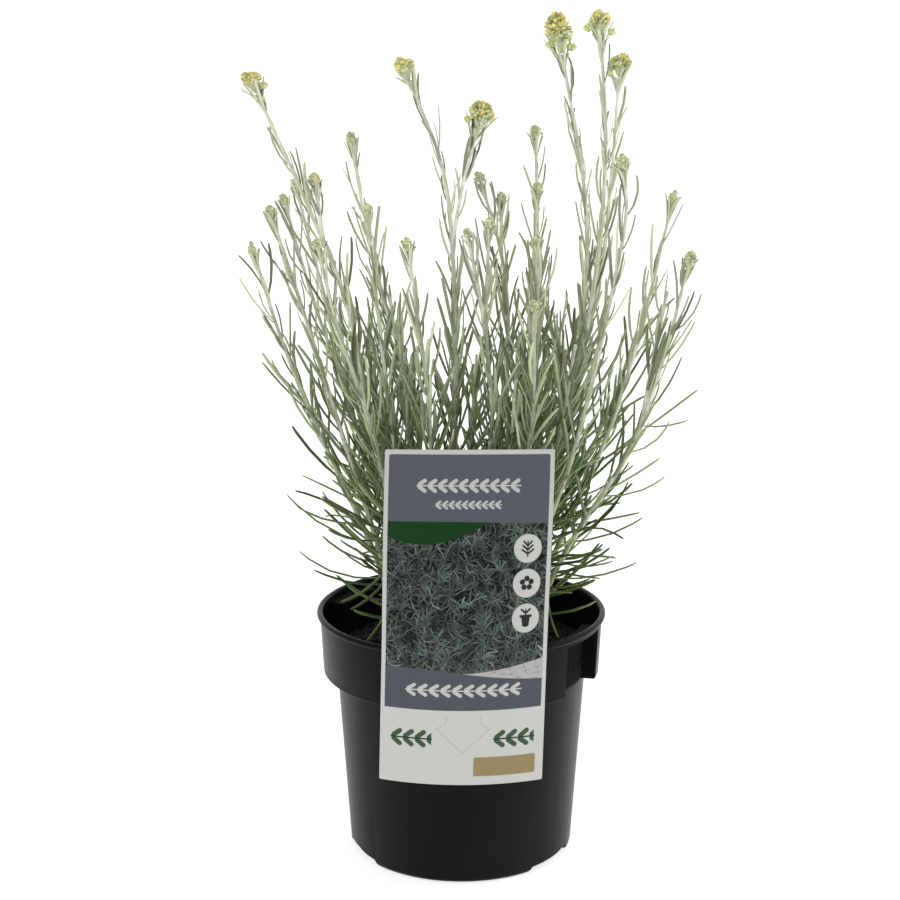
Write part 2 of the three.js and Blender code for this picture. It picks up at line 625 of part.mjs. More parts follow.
// Places the leaf k of an axis: it turns to the next flat of the stem, and then shortens, until it
// is clear of every other node.
function placeLeaf(axis, k, obstacles) {
  const draw = (c) => scatter(axis.order, k, c);
  const lowest = axis.isBranch ? LEAVES_START.branch : LEAVES_START.stem;
  const highest = axis.head ? LEAVES_END.headed : LEAVES_END.leafy;
  const share = lerp(lowest, highest, ((k + 0.25 + 0.5 * draw(1)) / axis.leaves) ** LEAF_CROWDING);
  const habit = leafHabit(axis.curve.getPointAt(share).z);
  const angle = radians(habit.angle * lerp(...ANGLE_SPREAD, draw(3)));
  const length = roomFor(axis, share, habit.length * lerp(...LENGTH_SPREAD, draw(2)), angle);
  const curl = lerp(...CURL_SPREAD, draw(4));
  const flat = Math.round((k * GOLDEN_ANGLE * STEM_SIDES) / (2 * Math.PI)) + axis.order;
  for (let attempt = 0; attempt < LEAF_TRIES; attempt += 1) {
    const shorter = 1 - LEAF_SHORTER * Math.floor(attempt / STEM_SIDES);
    const leaf = leafShape(axis, share, flat + attempt, length * shorter, angle, curl);
    if (leafIsClear(leaf, `stem_${axis.stem}`, obstacles)) return leaf;
  }
  return null;
}

// A linear leaf: a three-sided strip with a ridge, closed by an edge across its tip. Low on the
// plant it bends at its middle, where it is widest, and higher up it is straight.
function needle({ root, middle, tip, first, blade }) {
  const bent = root.z < LEAF_BENT_BELOW;
  const centres = bent ? [root, middle, tip] : [root, tip];
  const tapers = bent ? BENT_TAPERS : STRAIGHT_TAPERS;
  const rows = centres.length - 1;
  const face = blade.clone().cross(first).normalize();
  const strip = new THREE.CylinderGeometry(1, 1, 1, 3, rows);
  const position = strip.attributes.position;
  for (let i = 0; i < position.count; i += 1) {
    const row = Math.round((position.getY(i) + 0.5) * rows);
    const edge = position.getX(i) > 0.1 ? 1 : -1;
    const side = row === rows ? edge : position.getX(i) / Math.cos(Math.PI / 6);
    const rise = row === rows ? 0 : position.getZ(i) / 1.5;
    const point = centres[row].clone();
    point.addScaledVector(blade, side * tapers[row] * (LEAF_WIDTH / 2));
    point.addScaledVector(face, rise * tapers[row] * LEAF_THICKNESS);
    position.setXYZ(i, point.x, point.y, point.z);
  }
  return strip;
}

// The ways that the florets of a head point: the corners of an icosahedron and, for an open head,
// its faces.
function floretWays(ball, detail) {
  const position = ball.attributes.position;
  const corners = [];
  const faces = [];
  for (let i = 0; i < position.count; i += 3) {
    const trio = [0, 1, 2].map((j) => new THREE.Vector3().fromBufferAttribute(position, i + j));
    corners.push(...trio);
    faces.push(trio[0].clone().add(trio[1]).add(trio[2]).normalize());
  }
  return detail > 1 ? [...corners, ...faces] : corners;
}

// A head in its own frame, with its base over the origin and +Z up: a ball whose florets stand
// proud, narrower towards its base.
function headShape([kind, width, height]) {
  const { detail } = HEAD_KINDS[kind];
  const upright = Math.atan2(2, 1 + Math.sqrt(5));
  const ways = floretWays(new THREE.IcosahedronGeometry(1, 0).rotateX(upright), detail);
  const ball = closedShell(new THREE.IcosahedronGeometry(1, detail).rotateX(upright));
  const position = ball.attributes.position;
  const vertex = new THREE.Vector3();
  for (let i = 0; i < position.count; i += 1) {
    vertex.fromBufferAttribute(position, i).normalize();
    const nearest = Math.max(...ways.map((way) => way.dot(vertex)));
    const proud = nearest > SAME_WAY ? 1 : 1 - FLORET_PROUD;
    const narrow = 1 - HEAD_TAPER * smoothstep(-vertex.z, TAPER_FROM, 1);
    const wide = (width / 2) * proud * narrow;
    const tall = (height / 2) * (1 + vertex.z * proud) + SEAT;
    position.setXYZ(i, vertex.x * wide, vertex.y * wide, tall);
  }
  return ball;
}

function head(axis) {
  const look = { color: HEAD_KINDS[axis.head[0]].colour, roughness: 0.8, metalness: 0 };
  const mesh = named(`head_${axis.name}`, headShape(axis.head).rotateZ(axis.order), look);
  mesh.position.copy(axis.curve.getPointAt(1));
  mesh.quaternion.setFromUnitVectors(new THREE.Vector3(0, 0, 1), axis.curve.getTangentAt(1));
  return mesh;
}

// Potting mix: fills the pot, with a lumpy top and one plain hole for each stem.
function pottingMix(axes) {
  const level = SOIL_LEVEL;
  const bodyFoot = BODY_FOOT_RADIUS - WALL - SEAT;
  const bodyTop = BODY_TOP_RADIUS - WALL - SEAT;
  const shelf = COLLAR_FOOT_HEIGHT + WALL + SEAT;
  const collar = COLLAR_FOOT_RADIUS - WALL - SEAT;
  const profile = [[0, FLOOR + SEAT], [bodyFoot, FLOOR + SEAT], [bodyTop, shelf], [collar, shelf],
    [collar, level - SOIL_EDGE_DROP], ...SOIL_RINGS.map((radius) => [radius, level]), [0, level]];
  const body = closedShell(revolve(profile, POT_SIDES));
  const position = body.attributes.position;
  for (let i = 0; i < position.count; i += 1) {
    if (position.getZ(i) < level - 0.1) continue;
    const lump = scatter(Math.round(position.getX(i)), Math.round(position.getY(i)), 1) - 0.5;
    position.setZ(i, level + 2 * SOIL_LUMP * lump);
  }
  let solid = toSolid(body);
  for (const azimuth of RECESS_AZIMUTHS) solid = solid.subtract(toSolid(recessBulge(azimuth, SEAT)));
  for (const axis of axes.filter((each) => !each.isBranch)) {
    solid = solid.subtract(toSolid(tube(axis.curve, axis.radius, axis.tip, axis.steps, SEAT)));
  }
  return named('potting_mix', fromSolid(solid), MATERIALS.mix);
}

// The plant: stems with their leaves, and the heads.
function plant(axes) {
  const obstacles = stemObstacles(axes);
  const parts = new Map();
  axes.forEach((axis) => {
    if (!parts.has(axis.stem)) parts.set(axis.stem, []);
    parts.get(axis.stem).push(tube(axis.curve, axis.radius, axis.tip, axis.steps));
  });
  const rounds = Math.max(...axes.map((axis) => axis.leaves));
  for (let k = 0; k < rounds; k += 1) {
    for (const axis of axes.filter((each) => k < each.leaves)) {
      const leaf = placeLeaf(axis, k, obstacles);
      if (!leaf) continue;
      const node = `stem_${axis.stem}`;
      obstacles.push({ a: leaf.root, b: leaf.middle, radius: LEAF_WIDTH / 2, node });
      obstacles.push({ a: leaf.middle, b: leaf.tip, radius: LEAF_WIDTH / 2, node });
      parts.get(axis.stem).push(needle(leaf));
    }
  }
  const group = new THREE.Group();
  for (const [name, geometries] of parts) {
    group.add(named(`stem_${name}`, fromSolid(fuseWithoutSlivers(geometries)), MATERIALS.foliage));
  }
  for (const axis of axes.filter((each) => each.head)) group.add(head(axis));
  return group;
}

const axes = growAxes();
const pottedCurryPlant = new THREE.Group();
pottedCurryPlant.add(pot(), pottingMix(axes), label(), plant(axes));

export default pottedCurryPlant;
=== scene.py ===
"""Potted curry plant: the finished look of its pot, potting mix, label, leafy stems and heads.

Sizes are in millimetres until a mesh is made, which is in metres. +Z is up and -Y is the front.
"""

import logging
import math
from dataclasses import dataclass, field
from enum import Enum, IntEnum
from functools import reduce
from typing import Optional, Sequence, Union

import bmesh
import bpy
import numpy as np
from mathutils import Matrix, Vector, noise


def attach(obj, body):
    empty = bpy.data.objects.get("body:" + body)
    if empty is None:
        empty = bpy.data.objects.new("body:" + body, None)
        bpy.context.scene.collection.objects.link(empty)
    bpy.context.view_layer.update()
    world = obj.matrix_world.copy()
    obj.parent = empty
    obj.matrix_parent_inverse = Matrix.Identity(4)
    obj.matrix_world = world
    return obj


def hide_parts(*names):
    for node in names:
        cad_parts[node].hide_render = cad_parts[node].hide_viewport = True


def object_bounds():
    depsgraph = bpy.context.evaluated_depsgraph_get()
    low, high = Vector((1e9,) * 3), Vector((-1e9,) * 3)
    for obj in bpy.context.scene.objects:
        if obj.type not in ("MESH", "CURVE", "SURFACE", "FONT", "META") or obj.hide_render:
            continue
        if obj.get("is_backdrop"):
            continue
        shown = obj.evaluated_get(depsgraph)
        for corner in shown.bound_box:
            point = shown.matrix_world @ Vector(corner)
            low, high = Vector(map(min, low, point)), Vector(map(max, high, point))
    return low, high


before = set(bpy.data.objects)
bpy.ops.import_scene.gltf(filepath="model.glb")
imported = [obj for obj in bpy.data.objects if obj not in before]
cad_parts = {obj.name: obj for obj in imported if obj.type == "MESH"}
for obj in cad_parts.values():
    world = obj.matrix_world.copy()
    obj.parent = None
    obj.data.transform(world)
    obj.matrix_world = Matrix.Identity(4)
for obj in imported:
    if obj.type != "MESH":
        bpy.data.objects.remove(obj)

log = logging.getLogger("curry_plant")

Array = np.ndarray
Colour = tuple[float, float, float, float]
Point2 = tuple[float, float]
Point3 = tuple[float, float, float]
Mesh = bmesh.types.BMesh
Piece = bpy.types.Object
Material = bpy.types.Material
Group = bpy.types.NodeTree
Socket = bpy.types.NodeSocket
Input = Union[float, Socket]

MM = 0.001
BODY = "root"
GOLDEN_ANGLE = math.pi * (3.0 - math.sqrt(5.0))
GROWTH = "growth"
MIX_LEVEL = 100.0


class Draw(IntEnum):
    """The piece number that each kind of scatter starts from."""

    LOOKS = 40
    FILLING = 80
    THINNING = 90
    BRACTS = 120
    CLUSTERS = 160
    FLORETS = 200
    CRUMBS = 201
    SCRAPS = 202
    SIDES = 240
    CLASPING = 320


def lerp(low: float, high: float, share: float) -> float:
    """Mixes two values by the share of the second."""
    return low + (high - low) * share


def smoothstep(value: float, low: float, high: float) -> float:
    """Eases from 0 at the low limit to 1 at the high one."""
    share = min(max((value - low) / (high - low), 0.0), 1.0)
    return share * share * (3.0 - 2.0 * share)


def scatter(piece: float, repeat: float, draw: float) -> float:
    """Gives a fixed scatter between 0 and 1 for one draw of a repeat on a piece."""
    wave = math.sin(piece * 127.1 + repeat * 311.7 + draw * 74.7) * 43758.5453
    return wave - math.floor(wave)


def scatters(piece: float, repeat: float, count: int) -> list[float]:
    """Gives the first draws of a repeat on a piece."""
    return [scatter(piece, repeat, draw) for draw in range(count)]


def unit(ways: Array) -> Array:
    """Scales directions to length 1, one a row or one alone."""
    return ways / np.linalg.norm(ways, axis=-1, keepdims=True)


def turn_from(azimuth: float, other: float) -> float:
    """Gives the signed turn in degrees from one azimuth to another."""
    return (azimuth - other + 180.0) % 360.0 - 180.0


def tint(code: str) -> Colour:
    """Turns a screen colour into a linear one.

    Args:
        code: Six hexadecimal digits.

    Returns:
        The linear colour.
    """
    parts = [int(code[i:i + 2], 16) / 255.0 for i in (0, 2, 4)]
    linear = [p / 12.92 if p <= 0.04045 else ((p + 0.055) / 1.055) ** 2.4 for p in parts]
    return (*linear, 1.0)


# Meshes


def finish_mesh(name: str, bm: Mesh, smooth: bool = True, sharp_degrees: Optional[float] = None) -> Piece:
    """Makes an object at the origin from a bmesh in metres, and frees the bmesh.

    Args:
        name: The object's name.
        bm: The mesh so far.
        smooth: Whether its faces are shaded smooth.
        sharp_degrees: Edges that turn by more than this stay sharp.

    Returns:
        The new object.
    """
    for face in bm.faces:
        face.smooth = smooth
    mesh = bpy.data.meshes.new(name)
    bm.to_mesh(mesh)
    bm.free()
    if sharp_degrees is not None:
        mesh.set_sharp_from_angle(angle=math.radians(sharp_degrees))
    piece = bpy.data.objects.new(name, mesh)
    bpy.context.scene.collection.objects.link(piece)
    return piece


def tube_mesh(sides: int, rows: int) -> Mesh:
    """Makes a capped cylinder of radius 1, from z = 0 to z = 1.

    Args:
        sides: Its sides.
        rows: Its rows of faces along Z.

    Returns:
        The cylinder.
    """
    bm = bmesh.new()
    bmesh.ops.create_cone(bm, cap_ends=True, segments=sides, radius1=1.0, radius2=1.0, depth=1.0)
    bmesh.ops.translate(bm, verts=bm.verts, vec=(0.0, 0.0, 0.5))
    upright = [e for e in bm.edges if abs(e.verts[0].co.z - e.verts[1].co.z) > 0.5]
    bmesh.ops.subdivide_edges(bm, edges=upright, cuts=rows - 1, use_grid_fill=True)
    return bm


def lathe(profile: Sequence[Point2], steps: int, merge: float) -> Mesh:
    """Spins a half section round the Z axis.

    Args:
        profile: The section's points, as radius and height.
        steps: The steps of the full turn.
        merge: The distance within which points become one.

    Returns:
        The closed mesh.
    """
    bm = bmesh.new()
    verts = [bm.verts.new((0.0, -r, z)) for r, z in profile]
    edges = [bm.edges.new(pair) for pair in zip(verts, verts[1:])]
    bmesh.ops.spin(bm, geom=verts + edges, cent=(0, 0, 0), axis=(0, 0, 1),
                   angle=2.0 * math.pi, steps=steps, use_merge=True)
    bmesh.ops.remove_doubles(bm, verts=bm.verts, dist=merge)
    bmesh.ops.recalc_face_normals(bm, faces=bm.faces)
    return bm


def growth_layer(bm: Mesh) -> bmesh.types.BMLayerItem:
    """Gives the layer that holds height, tone, way along and face of each point."""
    layers = bm.verts.layers.float_color
    return layers.get(GROWTH) or layers.new(GROWTH)


class Stamp:
    """A small mesh that is pressed many times into larger ones."""

    def __init__(self, name: str, bm: Mesh) -> None:
        """Keeps the mesh.

        Args:
            name: The mesh's name.
            bm: The mesh, which is freed.
        """
        self.points = np.array([v.co[:] for v in bm.verts])
        self.mesh = bpy.data.meshes.new(name)
        bm.to_mesh(self.mesh)
        bm.free()

    def press(self, bm: Mesh, points: Array, growth: Sequence[Union[float, Array]]) -> None:
        """Adds a copy whose points are given.

        Args:
            bm: The mesh that gets the copy, from which nothing was ever deleted.
            points: The copy's points in millimetres.
            growth: The growth attribute's four values, each for all points or one a point.
        """
        bm.from_mesh(self.mesh)
        layer = growth_layer(bm)
        values = np.stack([np.broadcast_to(v, len(points)) for v in growth], axis=1)
        new = list(bm.verts)[-len(points):]
        for vert, point, value in zip(new, (points * MM).tolist(), values.tolist()):
            vert.co = point
            vert[layer] = value

    def drop(self) -> None:
        """Removes the mesh that was pressed."""
        bpy.data.meshes.remove(self.mesh)


def dress(piece: Piece, material: Material, slot: str, *nodes: str) -> None:
    """Gives a piece its material, its body and the nodes it stands for.

    Args:
        piece: The piece.
        material: Its material.
        slot: The record's material slot; not used.
        nodes: The nodes that it replaces.
    """
    piece.data.materials.clear()
    piece.data.materials.append(material)
    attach(piece, BODY)
    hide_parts(*nodes)
    log.info("%s: %d faces for %s", piece.name, len(piece.data.polygons), ", ".join(nodes))


# Materials


class Nodes:
    """Short calls that add nodes to one node tree."""

    def __init__(self, tree: Group) -> None:
        """Keeps the tree to work in."""
        self.tree = tree

    def add(self, kind: str, *values: object, **settings: object) -> bpy.types.Node:
        """Adds a node.

        Args:
            kind: The node's type without its ShaderNode prefix.
            values: What its first inputs get, in order.
            settings: Its settings by name.

        Returns:
            The node.
        """
        node = self.tree.nodes.new(f"ShaderNode{kind}")
        for name, value in settings.items():
            setattr(node, name, value)
        for socket, value in zip(node.inputs, values):
            self.feed(socket, value)
        return node

    def feed(self, socket: Socket, value: object) -> None:
        """Links a socket to another, or sets its value.

        Args:
            socket: The input.
            value: An output, a number, a colour or a vector.
        """
        if isinstance(value, Socket):
            self.tree.links.new(value, socket)
        else:
            socket.default_value = value

    def put(self, node: bpy.types.Node, **values: object) -> bpy.types.Node:
        """Feeds a node's inputs by name.

        Args:
            node: The node.
            values: What its inputs get, with _ for a space in a name.

        Returns:
            The same node.
        """
        for name, value in values.items():
            self.feed(node.inputs[name.replace("_", " ")], value)
        return node

    def math(self, operation: str, *values: Input, clamp: bool = False) -> Socket:
        """Gives the result of an operation, kept between 0 and 1 where clamp is set."""
        return self.add("Math", *values, operation=operation, use_clamp=clamp).outputs[0]

    def times(self, *values: Input) -> Socket:
        """Gives the product of values, which is the overlap of masks."""
        return reduce(lambda first, second: self.math("MULTIPLY", first, second), values)

    def plus(self, first: Input, second: Input) -> Socket:
        """Gives a sum."""
        return self.math("ADD", first, second)

    def minus(self, first: Input, second: Input) -> Socket:
        """Gives a difference."""
        return self.math("SUBTRACT", first, second)

    def span(self, x: Input, y: Input) -> Socket:
        """Gives the length of a flat vector."""
        return self.math("SQRT", self.plus(self.times(x, x), self.times(y, y)))

    def range(self, value: Input, low: float, high: float, start: float = 0.0,
              end: float = 1.0, smooth: bool = False) -> Socket:
        """Adds a clamped Map Range node.

        Args:
            value: The value to map.
            low: Where the result is start.
            high: Where the result is end.
            start: The result at low.
            end: The result at high.
            smooth: Whether the way between them is eased.

        Returns:
            The mapped value.
        """
        kind = "SMOOTHSTEP" if smooth else "LINEAR"
        return self.add("MapRange", value, low, high, start, end, interpolation_type=kind).outputs[0]

    def mix(self, share: Input, first: object, second: object) -> Socket:
        """Mixes two colours.

        Args:
            share: The share of the second.
            first: The first colour or socket.
            second: The second colour or socket.

        Returns:
            The mixed colour.
        """
        node = self.add("Mix", data_type="RGBA")
        self.feed(node.inputs["Factor"], share)
        colours = [s for s in node.inputs if s.type == "RGBA"]
        self.feed(colours[0], first)
        self.feed(colours[1], second)
        return next(s for s in node.outputs if s.type == "RGBA")

    def noise(self, vector: Socket, scale: Input, detail: float = 3.0, roughness: float = 0.5) -> Socket:
        """Adds a noise texture.

        Args:
            vector: Where it is read.
            scale: Its scale.
            detail: Its octaves.
            roughness: Its roughness.

        Returns:
            The noise value.
        """
        texture = self.add("TexNoise")
        return self.put(texture, Vector=vector, Scale=scale, Detail=detail, Roughness=roughness).outputs[0]

    def shade(self, colour: Socket, value: Socket) -> Socket:
        """Scales a colour's brightness by a value."""
        return self.put(self.add("HueSaturation"), Color=colour, Value=value).outputs[0]

    def bump(self, height: Socket, strength: float, depth: float) -> Socket:
        """Gives a normal from a height, with the depth in metres."""
        return self.put(self.add("Bump"), Strength=strength, Distance=depth, Height=height).outputs[0]

    def place(self) -> Socket:
        """Gives the object's own coordinates."""
        return self.add("TexCoord").outputs["Object"]

    def split(self, vector: Socket) -> Sequence[Socket]:
        """Gives a vector's X, Y and Z."""
        return self.add("SeparateXYZ", vector).outputs

    def growth(self) -> Sequence[Socket]:
        """Gives the growth attribute's four values."""
        node = self.add("Attribute", attribute_type="GEOMETRY", attribute_name=GROWTH)
        return (*self.add("SeparateColor", node.outputs["Color"]).outputs, node.outputs["Alpha"])

    def group(self, effect: Group, **values: object) -> bpy.types.Node:
        """Places an effect and feeds its inputs by name."""
        return self.put(self.add("Group", node_tree=effect), **values)


class Effect:
    """A node group under construction, with named inputs and outputs."""

    def __init__(self, name: str, inputs: dict[str, object], *outputs: str) -> None:
        """Makes the group and its sockets.

        Args:
            name: The group's name.
            inputs: Each input's default: a number, or None for a vector.
            outputs: The names of the values that it gives.
        """
        self.tree = bpy.data.node_groups.new(name, "ShaderNodeTree")
        for title, default in inputs.items():
            kind = "NodeSocketVector" if default is None else "NodeSocketFloat"
            socket = self.tree.interface.new_socket(title, in_out="INPUT", socket_type=kind)
            if default is not None:
                socket.default_value = default
        for title in outputs:
            self.tree.interface.new_socket(title, in_out="OUTPUT", socket_type="NodeSocketFloat")
        self.nodes = Nodes(self.tree)
        self.inputs = self.tree.nodes.new("NodeGroupInput").outputs
        self.result = self.tree.nodes.new("NodeGroupOutput")

    def give(self, **values: Socket) -> Group:
        """Links the results by name and gives the finished group."""
        self.nodes.put(self.result, **values)
        return self.tree


def wool_effect() -> Group:
    """Makes the felt of fine hairs that lies on stems, leaves and buds.

    Returns:
        A group that gives a mask of pale hairs and a height.
    """
    effect = Effect("wool", {"Vector": None, "Scale": 3000.0, "Stretch": 0.28}, "Mask", "Height")
    nodes, given = effect.nodes, effect.inputs
    squeeze = nodes.add("CombineXYZ", 1.0, 1.0, given["Stretch"])
    stretched = nodes.add("VectorMath", given["Vector"], squeeze.outputs[0], operation="MULTIPLY")
    hairs = nodes.noise(stretched.outputs[0], given["Scale"], detail=4.0, roughness=0.65)
    patches = nodes.noise(given["Vector"], nodes.times(given["Scale"], 0.11))
    both = nodes.plus(nodes.times(hairs, 0.65), nodes.times(patches, 0.35))
    return effect.give(Mask=nodes.range(both, 0.42, 0.62, smooth=True), Height=hairs)


def mottle_effect() -> Group:
    """Makes soft patches that lighten and darken a surface.

    Returns:
        A group that gives a value around 1.
    """
    effect = Effect("mottle", {"Vector": None, "Scale": 100.0, "Depth": 0.2}, "Value")
    nodes, given = effect.nodes, effect.inputs
    patches = nodes.noise(given["Vector"], given["Scale"], detail=5.0)
    swing = nodes.times(nodes.minus(patches, 0.5), 2.0)
    return effect.give(Value=nodes.plus(nodes.times(swing, given["Depth"]), 1.0))


def stroke_effect() -> Group:
    """Makes a straight stroke with round ends between two points of a flat drawing.

    Returns:
        A group that gives the stroke's mask.
    """
    inputs = {"Vector": None, "From X": 0.0, "From Y": 0.0, "To X": 1.0, "To Y": 1.0,
              "Half Width": 0.5, "Blur": 0.08}
    effect = Effect("stroke", inputs, "Mask")
    nodes, given = effect.nodes, effect.inputs
    place = nodes.split(given["Vector"])
    run = [nodes.minus(given[f"To {a}"], given[f"From {a}"]) for a in "XY"]
    gap = [nodes.minus(place[a], given[f"From {a}"]) for a in "XY"]
    dot = nodes.plus(*[nodes.times(r, g) for r, g in zip(run, gap)])
    square = nodes.plus(*[nodes.times(r, r) for r in run])
    share = nodes.math("DIVIDE", dot, square, clamp=True)
    off = [nodes.minus(g, nodes.times(r, share)) for r, g in zip(run, gap)]
    edge = nodes.math("DIVIDE", nodes.minus(given["Half Width"], nodes.span(*off)), given["Blur"])
    return effect.give(Mask=nodes.math("ADD", edge, 0.5, clamp=True))


def needle_effect() -> Group:
    """Makes a layer of sprigs with a few needle leaves each, for the picture on the label.

    Returns:
        A group that gives the needles' mask and a tone for each needle.
    """
    inputs = {"Vector": None, "Spacing": 7.0, "Needles": 1.5, "Seed": 0.0, "Half Width": 0.3}
    effect = Effect("needle_sprigs", inputs, "Mask", "Tone")
    nodes, given = effect.nodes, effect.inputs
    place = nodes.add("VectorMath", given["Vector"], given["Seed"], operation="ADD").outputs[0]
    cells = nodes.add("TexVoronoi", voronoi_dimensions="2D", feature="F1")
    nodes.put(cells, Vector=place, Scale=nodes.math("DIVIDE", 1.0, given["Spacing"]))
    local = nodes.add("VectorMath", place, cells.outputs["Position"], operation="SUBTRACT")
    x, y, _ = nodes.split(local.outputs[0])
    lean, sway, own_tone = nodes.add("SeparateColor", cells.outputs["Color"]).outputs
    radius = nodes.span(x, y)
    turn = nodes.plus(nodes.math("ARCTAN2", x, y), nodes.math("MULTIPLY_ADD", lean, 3.6, -1.8))
    fan = nodes.range(nodes.math("COSINE", turn), -0.55, -0.35)
    bend = nodes.times(nodes.minus(sway, 0.5), radius)
    turns = nodes.times(nodes.plus(turn, nodes.times(bend, 0.3)), given["Needles"])
    aside = nodes.times(nodes.math("ABSOLUTE", nodes.math("SINE", turns)),
                        nodes.math("DIVIDE", radius, given["Needles"]))
    outward = nodes.math("DIVIDE", radius, nodes.times(given["Spacing"], 0.8))
    room = nodes.math("SUBTRACT", 1.0, outward, clamp=True)
    half = nodes.times(given["Half Width"], nodes.math("POWER", room, 0.5))
    mask = nodes.times(nodes.range(nodes.minus(half, aside), -0.08, 0.08), fan)
    number = nodes.math("ROUND", nodes.math("DIVIDE", turns, math.pi))
    own = nodes.add("TexWhiteNoise", noise_dimensions="1D")
    nodes.put(own, W=nodes.math("MULTIPLY_ADD", own_tone, 91.0, number))
    tone = nodes.plus(nodes.times(own.outputs["Value"], 0.65), nodes.times(own_tone, 0.35))
    return effect.give(Mask=mask, Tone=nodes.times(tone, nodes.range(outward, 0.0, 0.45, 0.45, 1.0)))


@dataclass
class Effects:
    """The effects that several materials share."""

    wool: Group = field(default_factory=wool_effect)
    mottle: Group = field(default_factory=mottle_effect)
    stroke: Group = field(default_factory=stroke_effect)
    needles: Group = field(default_factory=needle_effect)


def new_material(name: str) -> tuple[Material, Nodes, bpy.types.Node]:
    """Makes an empty material with a Principled shader.

    Args:
        name: The material's name.

    Returns:
        The material, its nodes and its shader.
    """
    material = bpy.data.materials.new(name)
    material.use_nodes = True
    shader = next(n for n in material.node_tree.nodes if n.type == "BSDF_PRINCIPLED")
    return material, Nodes(material.node_tree), shader


@dataclass(frozen=True)
class FoliageFinish:
    """Felted stems and leaves: green low down, silvery higher up, paler on the stems. This is partly their own
    colour and partly painted light: painted shade darkens the crowded lower foliage, and painted backlight
    whitens the upper stems.
    """

    # The low colours hold painted shade of the crowded lower foliage. The high ones, and the stems most of
    # all, hold painted backlight.
    leaf_low: Colour = tint("506a33")
    leaf_high: Colour = tint("9ca580")
    under_low: Colour = tint("8fa562")
    under_high: Colour = tint("dce1c4")
    stem_low: Colour = tint("9aae6a")
    stem_dull: Colour = tint("d2d6bc")
    stem_high: Colour = tint("fbfcf0")
    hair: Colour = tint("e9ecd8")
    silver_and_lit_heights: Point2 = (0.12, 0.78)
    pale_and_lit_stem_heights: Point2 = (0.05, 0.45)
    tones: Point2 = (0.46, 1.36)
    streak_scale: float = 1500.0
    hair_scale: float = 3200.0
    hairs: Point2 = (0.04, 0.2)

    def build(self, effects: Effects) -> Material:
        """Makes the material.

        Args:
            effects: The shared effects.

        Returns:
            The material.
        """
        material, nodes, shader = new_material("silver_foliage")
        height, tone, along, kind = nodes.growth()
        place = nodes.place()
        # High is partly the plant's own silvering and partly painted light: painted shade low down, painted
        # backlight high up.
        high = nodes.range(height, *self.silver_and_lit_heights, smooth=True)
        leaf = nodes.mix(high, self.leaf_low, self.leaf_high)
        under = nodes.mix(high, self.under_low, self.under_high)
        leaf = nodes.mix(nodes.range(kind, 0.45, 0.05, 0.0, 0.7), leaf, under)
        lines = nodes.group(effects.wool, Vector=place, Scale=self.streak_scale, Stretch=0.07)
        streaks = lines.outputs["Mask"]
        bark = nodes.mix(nodes.times(streaks, 0.55), self.stem_low, self.stem_high)
        pale = nodes.mix(streaks, self.stem_dull, self.stem_high)
        # Stems turn paler higher up, partly as painted backlight.
        stem = nodes.mix(nodes.range(height, *self.pale_and_lit_stem_heights, smooth=True), bark, pale)
        body = nodes.mix(nodes.range(kind, 0.6, 0.9), leaf, stem)
        body = nodes.mix(nodes.times(nodes.range(along, 0.3, 0.0), 0.3), body, self.stem_high)
        wool = nodes.group(effects.wool, Vector=place, Scale=self.hair_scale).outputs
        amount = nodes.times(wool["Mask"], nodes.range(high, 0.0, 1.0, *self.hairs))
        body = nodes.mix(amount, body, self.hair)
        nodes.put(shader, Base_Color=nodes.shade(body, nodes.range(tone, 0.0, 1.0, *self.tones)),
                  Roughness=0.75, Sheen_Weight=0.12, Sheen_Roughness=0.5, Specular_IOR_Level=0.25,
                  Normal=nodes.bump(wool["Height"], 0.35, 0.00012))
        return material


@dataclass(frozen=True)
class HeadFinish:
    """Woolly florets with papery tips. Their feet are painted in a darker gap colour as painted shade where
    the florets crowd.
    """

    name: str
    base: Colour
    tip: Colour
    # gap: painted shade at each floret's foot.
    gap: Colour
    tip_from: float = 0.55
    tones: Point2 = (0.62, 1.28)
    hair_scale: float = 5200.0

    def build(self, effects: Effects) -> Material:
        """Makes the material.

        Args:
            effects: The shared effects.

        Returns:
            The material.
        """
        material, nodes, shader = new_material(self.name)
        ripe, tone, along, _ = nodes.growth()
        height = nodes.group(effects.wool, Vector=nodes.place(), Scale=self.hair_scale).outputs["Height"]
        ragged = nodes.times(nodes.minus(height, 0.5), 0.35)
        upper = nodes.range(nodes.plus(along, ragged), self.tip_from - 0.08, self.tip_from + 0.1)
        # Each floret's foot takes the gap colour: painted shade between the crowded florets.
        body = nodes.mix(nodes.range(along, 0.0, 0.35), self.gap, self.base)
        body = nodes.mix(nodes.times(upper, ripe), body, self.tip)
        nodes.put(shader, Base_Color=nodes.shade(body, nodes.range(tone, 0.0, 1.0, *self.tones)),
                  Roughness=nodes.range(upper, 0.0, 1.0, 0.85, 0.55), Sheen_Weight=0.25,
                  Normal=nodes.bump(height, 0.5, 0.00015))
        return material


